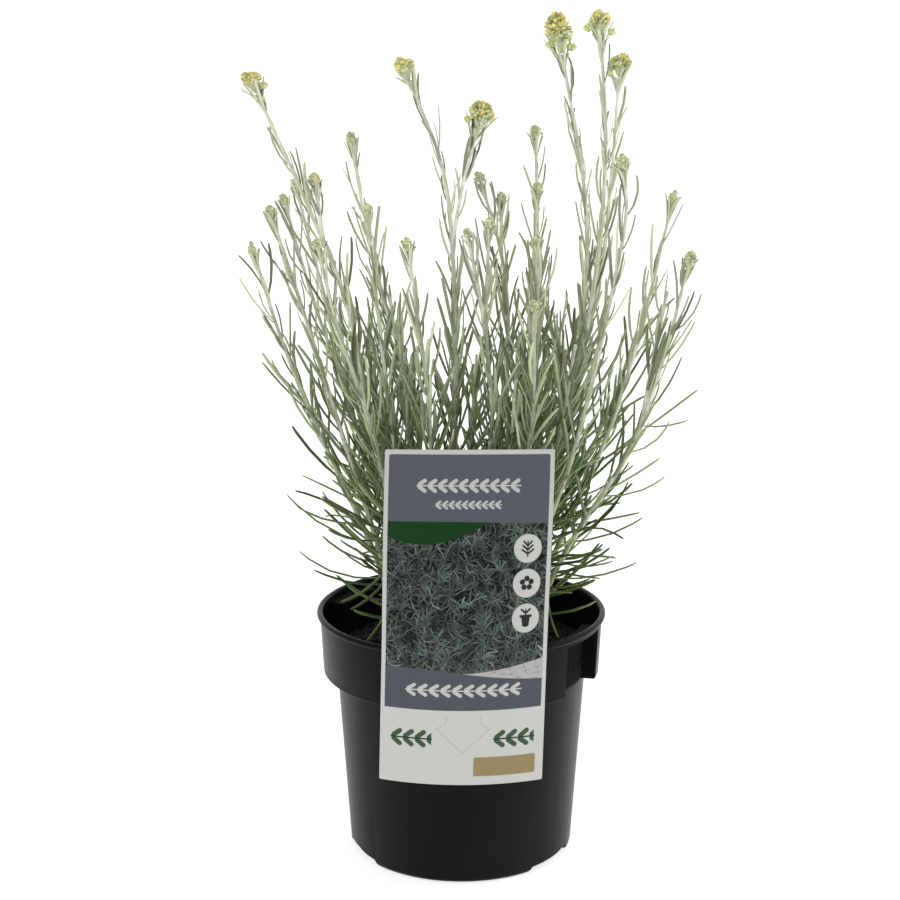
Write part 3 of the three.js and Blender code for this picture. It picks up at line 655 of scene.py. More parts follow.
@dataclass(frozen=True)
class PlasticFinish:
    """Satin black moulded plastic with a faint mould line."""

    body: Colour = tint("070808")
    dust: Colour = tint("4c4b46")
    roughness: Point2 = (0.3, 0.42)
    shine: float = 0.1
    inside_radius: Point2 = (0.0672, 0.0662)
    inside_height: Point2 = (0.09, 0.091)
    dull_inside: float = 0.45
    seam_azimuth: float = 30.0
    seam_half: Point2 = (0.0006, 0.0001)

    def build(self, effects: Effects) -> Material:
        """Makes the material.

        Args:
            effects: The shared effects.

        Returns:
            The material.
        """
        material, nodes, shader = new_material("black_plastic")
        place = nodes.place()
        x, y, z = nodes.split(place)
        mottle = nodes.group(effects.mottle, Vector=place, Scale=38.0, Depth=0.3)
        patches = nodes.noise(place, 14.0, detail=6.0)
        dust = nodes.times(nodes.range(patches, 0.5, 0.8), 0.06)
        gloss = nodes.range(nodes.times(mottle.outputs[0], 0.5), 0.3, 0.7, *self.roughness)
        deep = nodes.times(nodes.range(nodes.span(x, y), *self.inside_radius),
                           nodes.range(z, *self.inside_height))
        angle = math.radians(self.seam_azimuth)
        aside = nodes.plus(nodes.times(x, math.cos(angle)), nodes.times(y, math.sin(angle)))
        front = nodes.minus(nodes.times(x, math.sin(angle)), nodes.times(y, math.cos(angle)))
        seam = nodes.times(nodes.range(nodes.math("ABSOLUTE", aside), *self.seam_half),
                           nodes.math("GREATER_THAN", front, 0.0))
        relief = nodes.plus(nodes.times(nodes.noise(place, 900.0, detail=2.0), 0.25), seam)
        nodes.put(shader, Base_Color=nodes.mix(dust, self.body, self.dust),
                  Roughness=nodes.plus(gloss, nodes.times(deep, self.dull_inside)),
                  Specular_IOR_Level=self.shine, Normal=nodes.bump(relief, 0.25, 0.0003))
        return material


@dataclass(frozen=True)
class MixFinish:
    """Dark crumbs of bark and peat, damp in places."""

    dark: Colour = tint("0d0a08")
    brown: Colour = tint("261c14")
    bark: Colour = tint("4d3828")

    def build(self, effects: Effects) -> Material:
        """Makes the material.

        Args:
            effects: The shared effects.

        Returns:
            The material.
        """
        material, nodes, shader = new_material("potting_crumbs")
        woody = nodes.growth()[0]
        place = nodes.place()
        grain = nodes.noise(place, 700.0, detail=6.0, roughness=0.7)
        colour = nodes.mix(nodes.range(grain, 0.4, 0.7), self.dark, self.brown)
        colour = nodes.mix(woody, colour, self.bark)
        mottle = nodes.group(effects.mottle, Vector=place, Scale=260.0, Depth=0.5)
        nodes.put(shader, Base_Color=nodes.shade(colour, mottle.outputs[0]),
                  Roughness=nodes.range(grain, 0.3, 0.7, 0.7, 0.98),
                  Normal=nodes.bump(grain, 0.7, 0.0008))
        return material


# The pot


@dataclass(frozen=True)
class PotSizes:
    """The pot's sizes in millimetres, and its recesses and notches by azimuth from the front."""

    rim: float = 70.0
    height: float = 120.0
    bead: float = 1.5
    bead_lip: float = 0.4
    collar_top: float = 68.4
    collar_foot: float = 67.0
    collar_height: float = 89.6
    body_top: float = 60.4
    body_foot: float = 54.3
    wall: float = 1.3
    floor: float = 1.6
    foot_fillet: float = 3.0
    edge_fillet: float = 0.9
    recesses: tuple[float, ...] = (60.0, 240.0)
    recess_degrees: float = 27.0
    recess_wall_degrees: float = 1.2
    recess_top: float = 115.2
    notches: tuple[float, ...] = (-66.0, 55.0, 175.0)
    notch_half: float = 14.0
    notch_slope: float = 4.0
    notch_height: float = 4.6
    notch_depth: float = 8.0
    strap: Point3 = (18.6, 0.8, 14.0)
    strap_middle: float = 99.0
    strap_front: float = 70.05
    strap_cheek: float = 1.2
    columns: int = 180

    @property
    def bead_foot(self) -> float:
        """The height at which the collar meets the bead."""
        return self.height - 2.0 * self.bead - self.bead_lip

    def collar_radius(self, height: float) -> float:
        """Gives the collar's outer radius at a height."""
        share = (height - self.collar_height) / (self.bead_foot - self.collar_height)
        return lerp(self.collar_foot, self.collar_top, share)

    def from_recess(self, azimuth: float) -> float:
        """Gives the turn in degrees from an azimuth to the nearest recess's middle."""
        return min(abs(turn_from(azimuth, middle)) for middle in self.recesses)


def rounded(corners: Sequence[Point3], steps: int = 4) -> list[Point2]:
    """Rounds the corners of an open outline.

    Args:
        corners: Each corner's place and the radius of its rounding.
        steps: The segments of each rounding.

    Returns:
        The outline's points.
    """
    outline: list[Point2] = []
    for i, (x, y, radius) in enumerate(corners):
        if radius == 0.0 or i in (0, len(corners) - 1):
            outline.append((x, y))
            continue
        here = Vector((x, y))
        before = (Vector(corners[i - 1][:2]) - here).normalized()
        after = (Vector(corners[i + 1][:2]) - here).normalized()
        half = before.angle(after) / 2.0
        centre = here + (before + after).normalized() * (radius / math.sin(half))
        start = here + before * (radius / math.tan(half)) - centre
        sweep = start.angle_signed(here + after * (radius / math.tan(half)) - centre)
        for k in range(steps + 1):
            arm = start.copy()
            arm.rotate(Matrix.Rotation(-sweep * k / steps, 2))
            outline.append(tuple(centre + arm))
    return outline


@dataclass(frozen=True)
class NurseryPot:
    """The pot: one thin black moulding."""

    sizes: PotSizes = PotSizes()
    lip: float = 0.15
    skin: Point2 = (0.65, 0.6)
    recess_floor: Point2 = (0.04, 0.02)
    bead_degrees: tuple[float, float, int] = (-54.0, 155.0, 12)
    crowded: tuple[float, ...] = (-2.2, -0.25, 0.25, 0.95, 1.45, 2.6)
    merge: float = 0.01
    sharp_degrees: float = 38.0

    def outline(self) -> list[Point2]:
        """Gives the section of the wall from the underside's centre round to the floor's.

        Returns:
            The section's points, as radius and height.
        """
        s = self.sizes
        inner_top = s.collar_top - s.wall
        shelf = s.collar_height + s.wall
        low, high = s.recess_top - self.lip, s.recess_top + self.lip
        outside = rounded([
            (0.0, 0.0, 0.0), (s.body_foot, 0.0, s.foot_fillet),
            (s.body_top, s.collar_height, s.edge_fillet),
            (s.collar_foot, s.collar_height, s.edge_fillet), (s.collar_radius(low), low, 0.0),
        ])
        outside += [(s.collar_radius(high), high), (s.collar_top, s.bead_foot)]
        bead = [(s.rim + s.bead * (math.cos(a) - 1.0), s.height + s.bead * (math.sin(a) - 1.0))
                for a in np.radians(np.linspace(*self.bead_degrees))]
        bulge = s.recess_top + s.wall
        inside = rounded([
            (inner_top, bulge - 0.25, 0.0), (s.collar_foot - s.wall, shelf, s.edge_fillet),
            (s.body_top - s.wall, shelf, s.edge_fillet),
            (s.body_foot - s.wall, s.floor, s.edge_fillet), (0.0, s.floor, 0.0),
        ])
        return outside + bead + [(inner_top, bulge + 0.05)] + inside

    def column_azimuths(self) -> Array:
        """Gives each column's azimuth, crowded at the edges of the recesses.

        Returns:
            The azimuths in degrees.
        """
        s = self.sizes
        azimuths = np.arange(s.columns) * 360.0 / s.columns
        for middle in s.recesses:
            for reach in (s.recess_degrees / 2.0, -s.recess_degrees / 2.0):
                away = turn_from(azimuths, middle + reach)
                nearest = np.sort(np.argsort(np.abs(away))[:len(self.crowded)])
                outward = np.array(self.crowded) * math.copysign(1.0, reach)
                azimuths[nearest] = middle + reach + np.sort(outward)
        return azimuths

    def recessed(self, radius: float, height: float, azimuth: float) -> float:
        """Pushes a point of the collar in where it lies in a recess.

        Args:
            radius: The point's distance from the axis.
            height: Its height.
            azimuth: Its azimuth from the front in degrees.

        Returns:
            Its new distance from the axis.
        """
        s = self.sizes
        away = s.from_recess(azimuth)
        half = s.recess_degrees / 2.0
        above, behind = self.skin
        inner_skin = height > s.collar_height + above and radius < s.collar_radius(height) - behind
        if inner_skin:
            floor, limit, top = s.body_top - s.wall, half + s.recess_wall_degrees, s.recess_top + s.wall
        else:
            floor, limit, top = s.body_top, half, s.recess_top
        if away > limit or height > top or radius < floor + 0.05 or height < s.collar_height - 1.0:
            return radius
        slope, draft = self.recess_floor
        return floor + slope * (radius - floor) + draft * (height - s.collar_height)

    def strap(self, bm: Mesh) -> None:
        """Adds the strap on the collar that holds the label's tongue.

        Args:
            bm: The pot's mesh.
        """
        s = self.sizes
        width, thickness, tall = s.strap
        deep = s.strap_front - s.collar_foot + 1.4
        bars = [(0.0, width, thickness)]
        bars += [(side * (width - s.strap_cheek) / 2.0, s.strap_cheek, deep) for side in (-1.0, 1.0)]
        for x, wide, thick in bars:
            middle = Vector((x, thick / 2.0 - s.strap_front, s.strap_middle)) * MM
            size = Vector((wide, thick, tall)) * MM
            cube = bmesh.ops.create_cube(bm, size=1.0, matrix=Matrix.LocRotScale(middle, None, size))
            edges = list({e for v in cube["verts"] for e in v.link_edges})
            bmesh.ops.bevel(bm, geom=edges, offset=0.2 * MM, segments=2, affect="EDGES",
                            profile=0.5, material=-1)

    def notch_cutter(self, azimuth: float) -> Piece:
        """Makes the block that cuts one drain notch.

        Args:
            azimuth: The notch's azimuth from the front in degrees.

        Returns:
            The block.
        """
        s = self.sizes
        bm = bmesh.new()
        bmesh.ops.create_cube(bm, size=1.0)
        inner, outer = s.body_foot - s.notch_depth, s.body_foot + 5.0
        for vert in bm.verts:
            half = s.notch_half if vert.co.z > 0 else s.notch_half + s.notch_slope
            vert.co.x = math.copysign(half, vert.co.x)
            vert.co.y = -outer if vert.co.y < 0 else -inner
            vert.co.z = s.notch_height if vert.co.z > 0 else -1.0
        bmesh.ops.scale(bm, verts=bm.verts, vec=(MM, MM, MM))
        turn = Matrix.Rotation(math.radians(azimuth), 3, "Z")
        bmesh.ops.rotate(bm, verts=bm.verts, matrix=turn)
        return finish_mesh("notch_cutter", bm, smooth=False)

    def build(self, material: Material) -> Piece:
        """Makes the pot.

        Args:
            material: Its plastic.

        Returns:
            The piece.
        """
        columns = self.sizes.columns
        bm = lathe([(r * MM, z * MM) for r, z in self.outline()], columns, self.merge * MM)
        azimuths = self.column_azimuths()
        for vert in bm.verts:
            radius = math.hypot(vert.co.x, vert.co.y) / MM
            if radius < 1.0:
                continue
            turn = math.degrees(math.atan2(vert.co.x, -vert.co.y)) % 360.0
            azimuth = azimuths[round(turn * columns / 360.0) % columns]
            radius = self.recessed(radius, vert.co.z / MM, azimuth) * MM
            angle = math.radians(azimuth)
            vert.co.xy = radius * math.sin(angle), -radius * math.cos(angle)
        shell = finish_mesh("pot_shell", bm)
        cutters = [self.notch_cutter(a) for a in self.sizes.notches]
        for cutter in cutters:
            cut = shell.modifiers.new("notch", "BOOLEAN")
            cut.operation, cut.solver, cut.object = "DIFFERENCE", "EXACT", cutter
        bm = bmesh.new()
        bm.from_object(shell, bpy.context.evaluated_depsgraph_get())
        for spent in (shell, *cutters):
            bpy.data.objects.remove(spent)
        self.strap(bm)
        pot = finish_mesh("pot_moulding", bm, sharp_degrees=self.sharp_degrees)
        dress(pot, material, "pot", "pot")
        return pot


# The potting mix


@dataclass(frozen=True)
class PottingMix:
    """The mix: a body with a rough top, strewn with crumbs and scraps of bark."""

    pot: PotSizes = PotSizes()
    seat: float = 0.3
    level: float = MIX_LEVEL
    sinks: Point3 = (50.0, 66.0, 1.5)
    strewn_radius: float = 62.5
    rings: int = 30
    sides: int = 120
    relief: float = 2.2
    crumbs: int = 1500
    scraps: int = 110

    def top(self, x: float, y: float) -> float:
        """Gives the height of the mix.

        Args:
            x: The place across.
            y: The place from front to back.

        Returns:
            The height there.
        """
        coarse = noise.noise(Vector((x * 0.06, y * 0.06, 0.3)))
        fine = noise.fractal(Vector((x * 0.35, y * 0.35, 1.7)), 0.9, 2.1, 4)
        sink = self.sinks[2] * smoothstep(math.hypot(x, y), *self.sinks[:2])
        return self.level - sink + self.relief * (0.7 * coarse + 0.4 * fine)

    def body(self) -> Mesh:
        """Makes the body of the mix.

        Returns:
            The mesh in millimetres.
        """
        p = self.pot
        shelf = p.collar_height + p.wall + self.seat
        collar = p.collar_foot - p.wall - self.seat
        profile = [(0.0, p.floor + self.seat), (p.body_foot - p.wall - self.seat, p.floor + self.seat),
                   (p.body_top - p.wall - self.seat, shelf), (collar, shelf)]
        profile += [(collar * (1.0 - k / self.rings), self.level) for k in range(self.rings + 1)]
        bm = lathe(profile, self.sides, merge=0.001)
        for vert in bm.verts:
            if vert.co.z > self.level - 0.5:
                vert.co.z = self.top(vert.co.x, vert.co.y)
            self.keep_off_recess(vert)
        return bm

    def keep_off_recess(self, vert: bmesh.types.BMVert) -> None:
        """Draws a point in where the pot's recess stands into the mix.

        Args:
            vert: The point, in millimetres.
        """
        p = self.pot
        radius = math.hypot(vert.co.x, vert.co.y)
        azimuth = math.degrees(math.atan2(vert.co.x, -vert.co.y))
        limit = p.body_top - p.wall - 1.0
        if p.from_recess(azimuth) < p.recess_degrees / 2.0 + 2.5 and radius > limit:
            vert.co.xy *= limit / radius

    def strew(self, bm: Mesh, stamp: Stamp, count: int, seed: int, bark: bool) -> None:
        """Strews crumbs or scraps over the top.

        Args:
            bm: The mix's mesh.
            stamp: The crumb's mesh.
            count: How many.
            seed: The piece number for the scatter.
            bark: Whether they are long scraps of bark.
        """
        for k in range(count):
            d = scatters(seed, k, 9)
            far = self.strewn_radius * math.sqrt(d[0])
            turn = 2.0 * math.pi * d[1]
            x, y = far * math.cos(turn), far * math.sin(turn)
            size = 0.5 + 1.5 * d[2] ** 3
            shape = (size * (2.0 + 2.5 * d[3]), size * 0.9, size * 0.5) if bark else (
                size, size * (0.7 + 0.3 * d[3]), size * (0.5 + 0.4 * d[4]))
            place = Matrix.Translation((x, y, self.top(x, y) + 0.25 * size))
            place @= Matrix.Rotation(2.0 * math.pi * d[5], 4, "Z")
            place @= Matrix.Rotation((d[6] - 0.5) * 1.2, 4, "X")
            place @= Matrix.Rotation((d[7] - 0.5) * 0.9, 4, "Y")
            jag = 1.0 + 0.35 * np.array([scatter(k, i, seed) - 0.5 for i in range(len(stamp.points))])
            points = stamp.points * jag[:, None] * np.array(shape)
            points = points @ np.array(place.to_3x3()).T + np.array(place.translation)
            red = 0.35 + 0.65 * d[8] if bark else 0.25 * d[8] ** 2
            stamp.press(bm, points, (red, d[3], 0.0, 1.0))

    def build(self, material: Material) -> Piece:
        """Makes the mix.

        Args:
            material: Its crumbs.

        Returns:
            The piece.
        """
        bm = bmesh.new()
        growth_layer(bm)
        body = Stamp("mix_body", self.body())
        body.press(bm, body.points, (0.0, 0.5, 0.0, 1.0))
        body.drop()
        ball = bmesh.new()
        bmesh.ops.create_icosphere(ball, subdivisions=1, radius=1.0)
        crumb = Stamp("crumb", ball)
        self.strew(bm, crumb, self.crumbs, Draw.CRUMBS, bark=False)
        self.strew(bm, crumb, self.scraps, Draw.SCRAPS, bark=True)
        crumb.drop()
        piece = finish_mesh("potting_crumbs", bm, smooth=False)
        dress(piece, material, "potting_mix", "potting_mix")
        return piece


# The label


@dataclass(frozen=True)
class LabelSizes:
    """The label's sizes in millimetres: a sheet that wraps the rim and leans back above it."""

    width: float = 77.0
    foot: float = 57.3
    top: float = 210.0
    thickness: float = 0.7
    corner: float = 0.7
    front: float = -71.5
    lean: float = 0.26
    bend_height: float = 124.0
    bend_softness: float = 4.0
    wrap_radius: float = 97.0
    flat_radius: float = 700.0
    flattens_from: float = 118.0
    centre_at_rim: float = 1.3
    tilt: float = 0.028
    tongue: tuple[float, float, float, float, float] = (15.6, 24.5, 88.6, 76.0, 111.0)
    tongue_back: float = 68.4
    tongue_thickness: float = 0.6

    def point(self, across: float, height: float, out: float) -> Vector:
        """Gives a point of the sheet.

        Args:
            across: The distance from its middle.
            height: The height above the ground.
            out: The distance out of its face.

        Returns:
            The point.
        """
        flat = smoothstep(height, self.flattens_from, self.top)
        radius = 1.0 / lerp(1.0 / self.wrap_radius, 1.0 / self.flat_radius, flat)
        rise = height - self.bend_height
        back = self.front + self.lean * (rise + math.hypot(rise, self.bend_softness)) / 2.0
        angle = (across + self.centre_at_rim + self.tilt * rise) / radius
        x = (radius + out) * math.sin(angle)
        return Vector((x, back + radius - (radius + out) * math.cos(angle), height))


@dataclass(frozen=True)
class PlantLabel:
    """The label: a printed plastic sheet with a barbed tongue behind it."""

    sizes: LabelSizes = LabelSizes()
    columns: int = 28
    rows: int = 52

    def sheet(self) -> Mesh:
        """Makes the sheet with its print's coordinates in hundreds of millimetres.

        Returns:
            The mesh in millimetres.
        """
        s = self.sizes
        tall = s.top - s.foot
        bm = bmesh.new()
        bmesh.ops.create_grid(bm, x_segments=1, y_segments=1, size=0.5)
        bmesh.ops.scale(bm, verts=bm.verts, vec=(s.width, tall, 1.0))
        bmesh.ops.bevel(bm, geom=list(bm.verts), offset=s.corner, segments=4, affect="VERTICES",
                        profile=0.5, material=-1)
        for axis, size, count in ((0, s.width, self.columns), (1, tall, self.rows)):
            for k in range(1, count):
                normal = Vector((1.0 - axis, float(axis), 0.0))
                bmesh.ops.bisect_plane(bm, geom=bm.verts[:] + bm.edges[:] + bm.faces[:],
                                       plane_co=normal * size * (k / count - 0.5), plane_no=normal)
        bmesh.ops.recalc_face_normals(bm, faces=bm.faces)
        if next(iter(bm.faces)).normal.z > 0:
            bmesh.ops.reverse_faces(bm, faces=bm.faces)
        bmesh.ops.solidify(bm, geom=bm.faces[:], thickness=s.thickness)
        print_map = bm.loops.layers.uv.new("print")
        for face in bm.faces:
            for loop in face.loops:
                flat = loop.vert.co
                loop[print_map].uv = ((flat.x + s.width / 2.0) / 100.0, (flat.y + tall / 2.0) / 100.0)
        middle = sum(v.co.z for v in bm.verts) / len(bm.verts)
        for vert in bm.verts:
            vert.co = s.point(vert.co.x, s.foot + tall / 2.0 + vert.co.y, vert.co.z - middle)
        return bm

    def tongue(self, bm: Mesh) -> None:
        """Adds the barbed tongue and the web that joins it to the sheet.

        Args:
            bm: The label's mesh in millimetres.
        """
        s = self.sizes
        neck, barb, barb_height, tip_height, root = s.tongue
        outline = [(-neck / 2, root), (-neck / 2, barb_height), (-barb / 2, barb_height), (0.0, tip_height),
                   (barb / 2, barb_height), (neck / 2, barb_height), (neck / 2, root)]
        face = bm.faces.new([bm.verts.new((x, -s.tongue_back, z)) for x, z in outline])
        grown = bmesh.ops.extrude_face_region(bm, geom=[face])
        plate = [v for v in grown["geom"] if isinstance(v, bmesh.types.BMVert)]
        bmesh.ops.translate(bm, verts=plate, vec=(0.0, -s.tongue_thickness, 0.0))
        deep = -s.front - s.tongue_back - 0.4
        place = Matrix.Translation((0.0, -s.tongue_back - deep / 2.0, root - 2.0))
        bmesh.ops.create_cube(bm, size=1.0, matrix=place @ Matrix.Diagonal((neck - 0.6, deep, 3.4, 1.0)))

    def build(self, material: Material) -> Piece:
        """Makes the label.

        Args:
            material: Its print.

        Returns:
            The piece.
        """
        bm = self.sheet()
        self.tongue(bm)
        bmesh.ops.scale(bm, verts=bm.verts, vec=(MM, MM, MM))
        bmesh.ops.recalc_face_normals(bm, faces=bm.faces)
        piece = finish_mesh("plant_label", bm, sharp_degrees=40.0)
        dress(piece, material, "label", "label")
        return piece


class Drawing:
    """A flat drawing in millimetres, built up from masks in one material."""

    def __init__(self, nodes: Nodes, effects: Effects, ground: Colour) -> None:
        """Starts the drawing.

        Args:
            nodes: The material's nodes.
            effects: The shared effects.
            ground: The colour of the bare sheet.
        """
        self.nodes = nodes
        self.effects = effects
        scaled = nodes.add("VectorMath", nodes.add("UVMap", uv_map="print").outputs[0], operation="SCALE")
        self.vector = nodes.put(scaled, Scale=100.0).outputs[0]
        self.x, self.y, _ = nodes.split(self.vector)
        self.colour: Socket = nodes.mix(0.0, ground, ground)

    def step(self, value: Input, edge: float, blur: float = 0.12) -> Socket:
        """Gives a mask of where a value is above an edge, softened by a blur."""
        return self.nodes.range(value, edge - blur, edge + blur)

    def any(self, *masks: Socket) -> Socket:
        """Gives the union of masks."""
        return reduce(lambda first, second: self.nodes.math("MAXIMUM", first, second), masks)

    def without(self, mask: Socket, hole: Socket) -> Socket:
        """Gives a mask less another."""
        return self.nodes.times(mask, self.nodes.minus(1.0, hole))

    def panel(self, x: float, y: float, half_x: float, half_y: float, corner: float = 0.8) -> Socket:
        """Gives a rectangle with round corners.

        Args:
            x: Its middle across.
            y: Its middle upwards.
            half_x: Half its width.
            half_y: Half its height.
            corner: The radius of its corners.

        Returns:
            Its mask.
        """
        n = self.nodes
        gaps = []
        for place, middle, half in ((self.x, x, half_x), (self.y, y, half_y)):
            away = n.math("ABSOLUTE", n.minus(place, middle))
            gaps.append(n.math("MAXIMUM", n.minus(away, half - corner), 0.0))
        return n.range(n.span(*gaps), corner + 0.12, corner - 0.12)

    def disc(self, x: float, y: float, radius: float) -> Socket:
        """Gives a disc round a middle."""
        return self.panel(x, y, radius, radius, radius)

    def stroke(self, start: Point2, end: Point2, half: float, blur: float = 0.15) -> Socket:
        """Gives a straight stroke with round ends.

        Args:
            start: Where it starts.
            end: Where it ends.
            half: Half its width.
            blur: How soft its edge is.

        Returns:
            Its mask.
        """
        group = self.nodes.group(self.effects.stroke, Vector=self.vector, From_X=start[0],
                                 From_Y=start[1], To_X=end[0], To_Y=end[1], Half_Width=half, Blur=blur)
        return group.outputs[0]

    def garland(self, start: float, end: float, base: float, pitch: float, size: float) -> Socket:
        """Draws a level twig with a pair of leaves at every step.

        Args:
            start: Where it starts across.
            end: Where it ends.
            base: Its height.
            pitch: The step from pair to pair.
            size: Half a leaf's width, and the measure of the rest.

        Returns:
            Its mask.
        """
        n = self.nodes
        along = n.math("MODULO", n.minus(self.x, start - 10.0 * pitch), pitch)
        aside = n.math("ABSOLUTE", n.minus(self.y, base))
        local = n.add("CombineXYZ", along, aside)
        leaf = n.group(self.effects.stroke, Vector=local.outputs[0], From_X=0.22 * pitch, From_Y=0.6 * size,
                       To_X=0.74 * pitch, To_Y=2.3 * size, Half_Width=0.85 * size, Blur=0.2)
        span = self.panel((start + end) / 2.0, base, (end - start) / 2.0, 4.0 * size, 0.1)
        twig = self.stroke((start, base), (end, base), 0.28 * size)
        return self.any(n.times(leaf.outputs[0], span), twig)

    def wave(self, base: float, rise: float, length: float, phase: float) -> Socket:
        """Gives the height above a wavy line that runs across.

        Args:
            base: The line's mean height.
            rise: How far it swings.
            length: The length of one wave.
            phase: Where it starts, in radians.

        Returns:
            The height above the line.
        """
        n = self.nodes
        turn = n.math("MULTIPLY_ADD", self.x, 2.0 * math.pi / length, phase)
        line = n.math("MULTIPLY_ADD", n.math("SINE", turn), rise, base)
        return n.minus(self.y, line)

    def paint(self, mask: Socket, colour: object) -> None:
        """Paints a colour or a socket where a mask is."""
        self.colour = self.nodes.mix(mask, self.colour, colour)


@dataclass(frozen=True)
class LabelFinish:
    """The print: slate bands, a picture of silver foliage, a green swell, garlands and pictograms."""

    sheet: Colour = tint("cececa")
    slate: Colour = tint("5b6068")
    slate_low: Colour = tint("52575e")
    green: Colour = tint("123f16")
    gold: Colour = tint("9a8a60")
    lilac: Colour = tint("b9b5b6")
    leaf_dark: Colour = tint("080c0a")
    leaf_mid: Colour = tint("141b16")
    leaf_pale: Colour = tint("93a399")
    ink_and_press_shade: Colour = tint("2c2f30")
    width: float = LabelSizes.width
    height: float = LabelSizes.top - LabelSizes.foot
    border: float = 2.0
    band: float = 36.0
    layers: int = 11
    drift: Point3 = (3.4, 3.4, 0.0)
    sign_x: float = 66.0
    sign_heights: Point3 = (109.0, 93.5, 78.0)
    sign_radius: float = 6.4
    creases: tuple[tuple[Point2, Point2, float], ...] = (
        ((72.5, 65.0), (77.0, 61.0), 0.3), ((73.5, 61.0), (77.0, 56.0), 0.22))

    def picture(self, art: Drawing) -> Socket:
        """Paints needle-leaved foliage in several layers.

        Args:
            art: The drawing.

        Returns:
            The picture's colour.
        """
        nodes = art.nodes
        ground = nodes.noise(art.vector, 0.14, detail=4.0)
        colour = nodes.mix(nodes.range(ground, 0.4, 0.65), self.leaf_dark, self.leaf_mid)
        lit = nodes.range(nodes.noise(art.vector, 0.11, detail=3.0), 0.35, 0.65, 0.5, 1.25)
        drift = nodes.put(nodes.add("TexNoise"), Vector=art.vector, Scale=0.16)
        sway = nodes.add("VectorMath", drift.outputs["Color"], self.drift, art.vector,
                         operation="MULTIPLY_ADD")
        for k in range(self.layers):
            layer = nodes.group(art.effects.needles, Vector=sway.outputs[0],
                                Spacing=8.5 + 5.0 * scatter(k, 1, 1),
                                Needles=(3.5, 4.5, 3.0, 5.0)[k % 4], Seed=17.3 * (k + 1),
                                Half_Width=0.26 + 0.12 * scatter(k, 2, 2))
            tone = nodes.math("MULTIPLY_ADD", layer.outputs["Tone"], 0.68, 0.46 * k / self.layers - 0.17)
            light = nodes.math("POWER", nodes.math("MAXIMUM", tone, 0.0), 1.5)
            pale = nodes.math("MULTIPLY", light, lit, clamp=True)
            leaf = nodes.mix(pale, self.leaf_dark, self.leaf_pale)
            colour = nodes.mix(layer.outputs["Mask"], colour, leaf)
        return colour

    def pot_sign(self, art: Drawing, x: float, y: float) -> Socket:
        """Draws a small flower pot.

        Args:
            art: The drawing.
            x: Its middle across.
            y: Its middle upwards.

        Returns:
            Its mask.
        """
        sides = [art.stroke((x + 1.3 * s, y + 0.4), (x + 0.8 * s, y - 3.0), 0.75) for s in (-1.0, 1.0)]
        stem = art.stroke((x, y + 1.0), (x, y + 4.0), 0.3)
        leaves = [art.stroke((x, y + 2.2), (x + 2.0 * s, y + 3.9), 0.45) for s in (-1.0, 1.0)]
        return art.any(art.panel(x, y + 0.9, 2.9, 0.6, 0.3), art.stroke((x, y), (x, y - 3.0), 0.9),
                       stem, *sides, *leaves)

    def flower_sign(self, art: Drawing, x: float, y: float) -> Socket:
        """Draws a small flower.

        Args:
            art: The drawing.
            x: Its middle across.
            y: Its middle upwards.

        Returns:
            Its mask.
        """
        petals = []
        for k in range(5):
            turn = 2.0 * math.pi * (k + 0.25) / 5.0
            petals.append(art.disc(x + 2.1 * math.cos(turn), y + 2.1 * math.sin(turn), radius=1.25))
        return art.without(art.any(*petals), art.disc(x, y, 0.8))

    def sprig_sign(self, art: Drawing, x: float, y: float) -> Socket:
        """Draws a small leafy sprig.

        Args:
            art: The drawing.
            x: Its middle across.
            y: Its middle upwards.

        Returns:
            Its mask.
        """
        lines = [art.stroke((x, y - 3.6), (x, y + 3.2), 0.3)]
        for k in range(3):
            foot = y - 2.4 + 1.8 * k
            reach = 2.6 - 0.4 * k
            lines += [art.stroke((x, foot), (x + s * reach, foot + 1.9), 0.42) for s in (-1.0, 1.0)]
        return art.any(*lines)

    def emboss(self, art: Drawing) -> Socket:
        """Gives the faint outline that the tongue presses into the sheet, used as a bump and as painted shade.

        Args:
            art: The drawing.

        Returns:
            The lines' mask.
        """
        middle = self.width / 2.0 + 0.3
        neck, barb, top, shoulder, barb_foot, tip = 7.8, 12.2, 33.5, 29.5, 27.0, 15.5
        lines = []
        for s in (-1.0, 1.0):
            path = [(middle + s * neck, top), (middle + s * neck, shoulder),
                    (middle + s * barb, barb_foot), (middle, tip)]
            lines += [art.stroke(start, end, 0.2, 0.3) for start, end in zip(path, path[1:])]
        return art.any(*lines)

    def paint_header(self, art: Drawing, inner: Socket) -> None:
        """Paints the slate header with two pale garlands, and the green swell below it.

        Args:
            art: The drawing.
            inner: The mask of all that lies within the border.
        """
        header = art.step(art.wave(120.5, 0.7, 150.0, 0.6), 0.0)
        art.paint(art.nodes.times(inner, header), self.slate)
        swell = art.nodes.times(inner, art.step(art.wave(118.0, 7.0, 100.0, 3.6), 0.0))
        art.paint(art.without(swell, header), self.green)
        art.paint(art.garland(15.0, 62.0, 137.0, 4.7, 1.0), self.sheet)
        art.paint(art.garland(23.5, 53.5, 128.6, 3.0, 0.62), self.sheet)

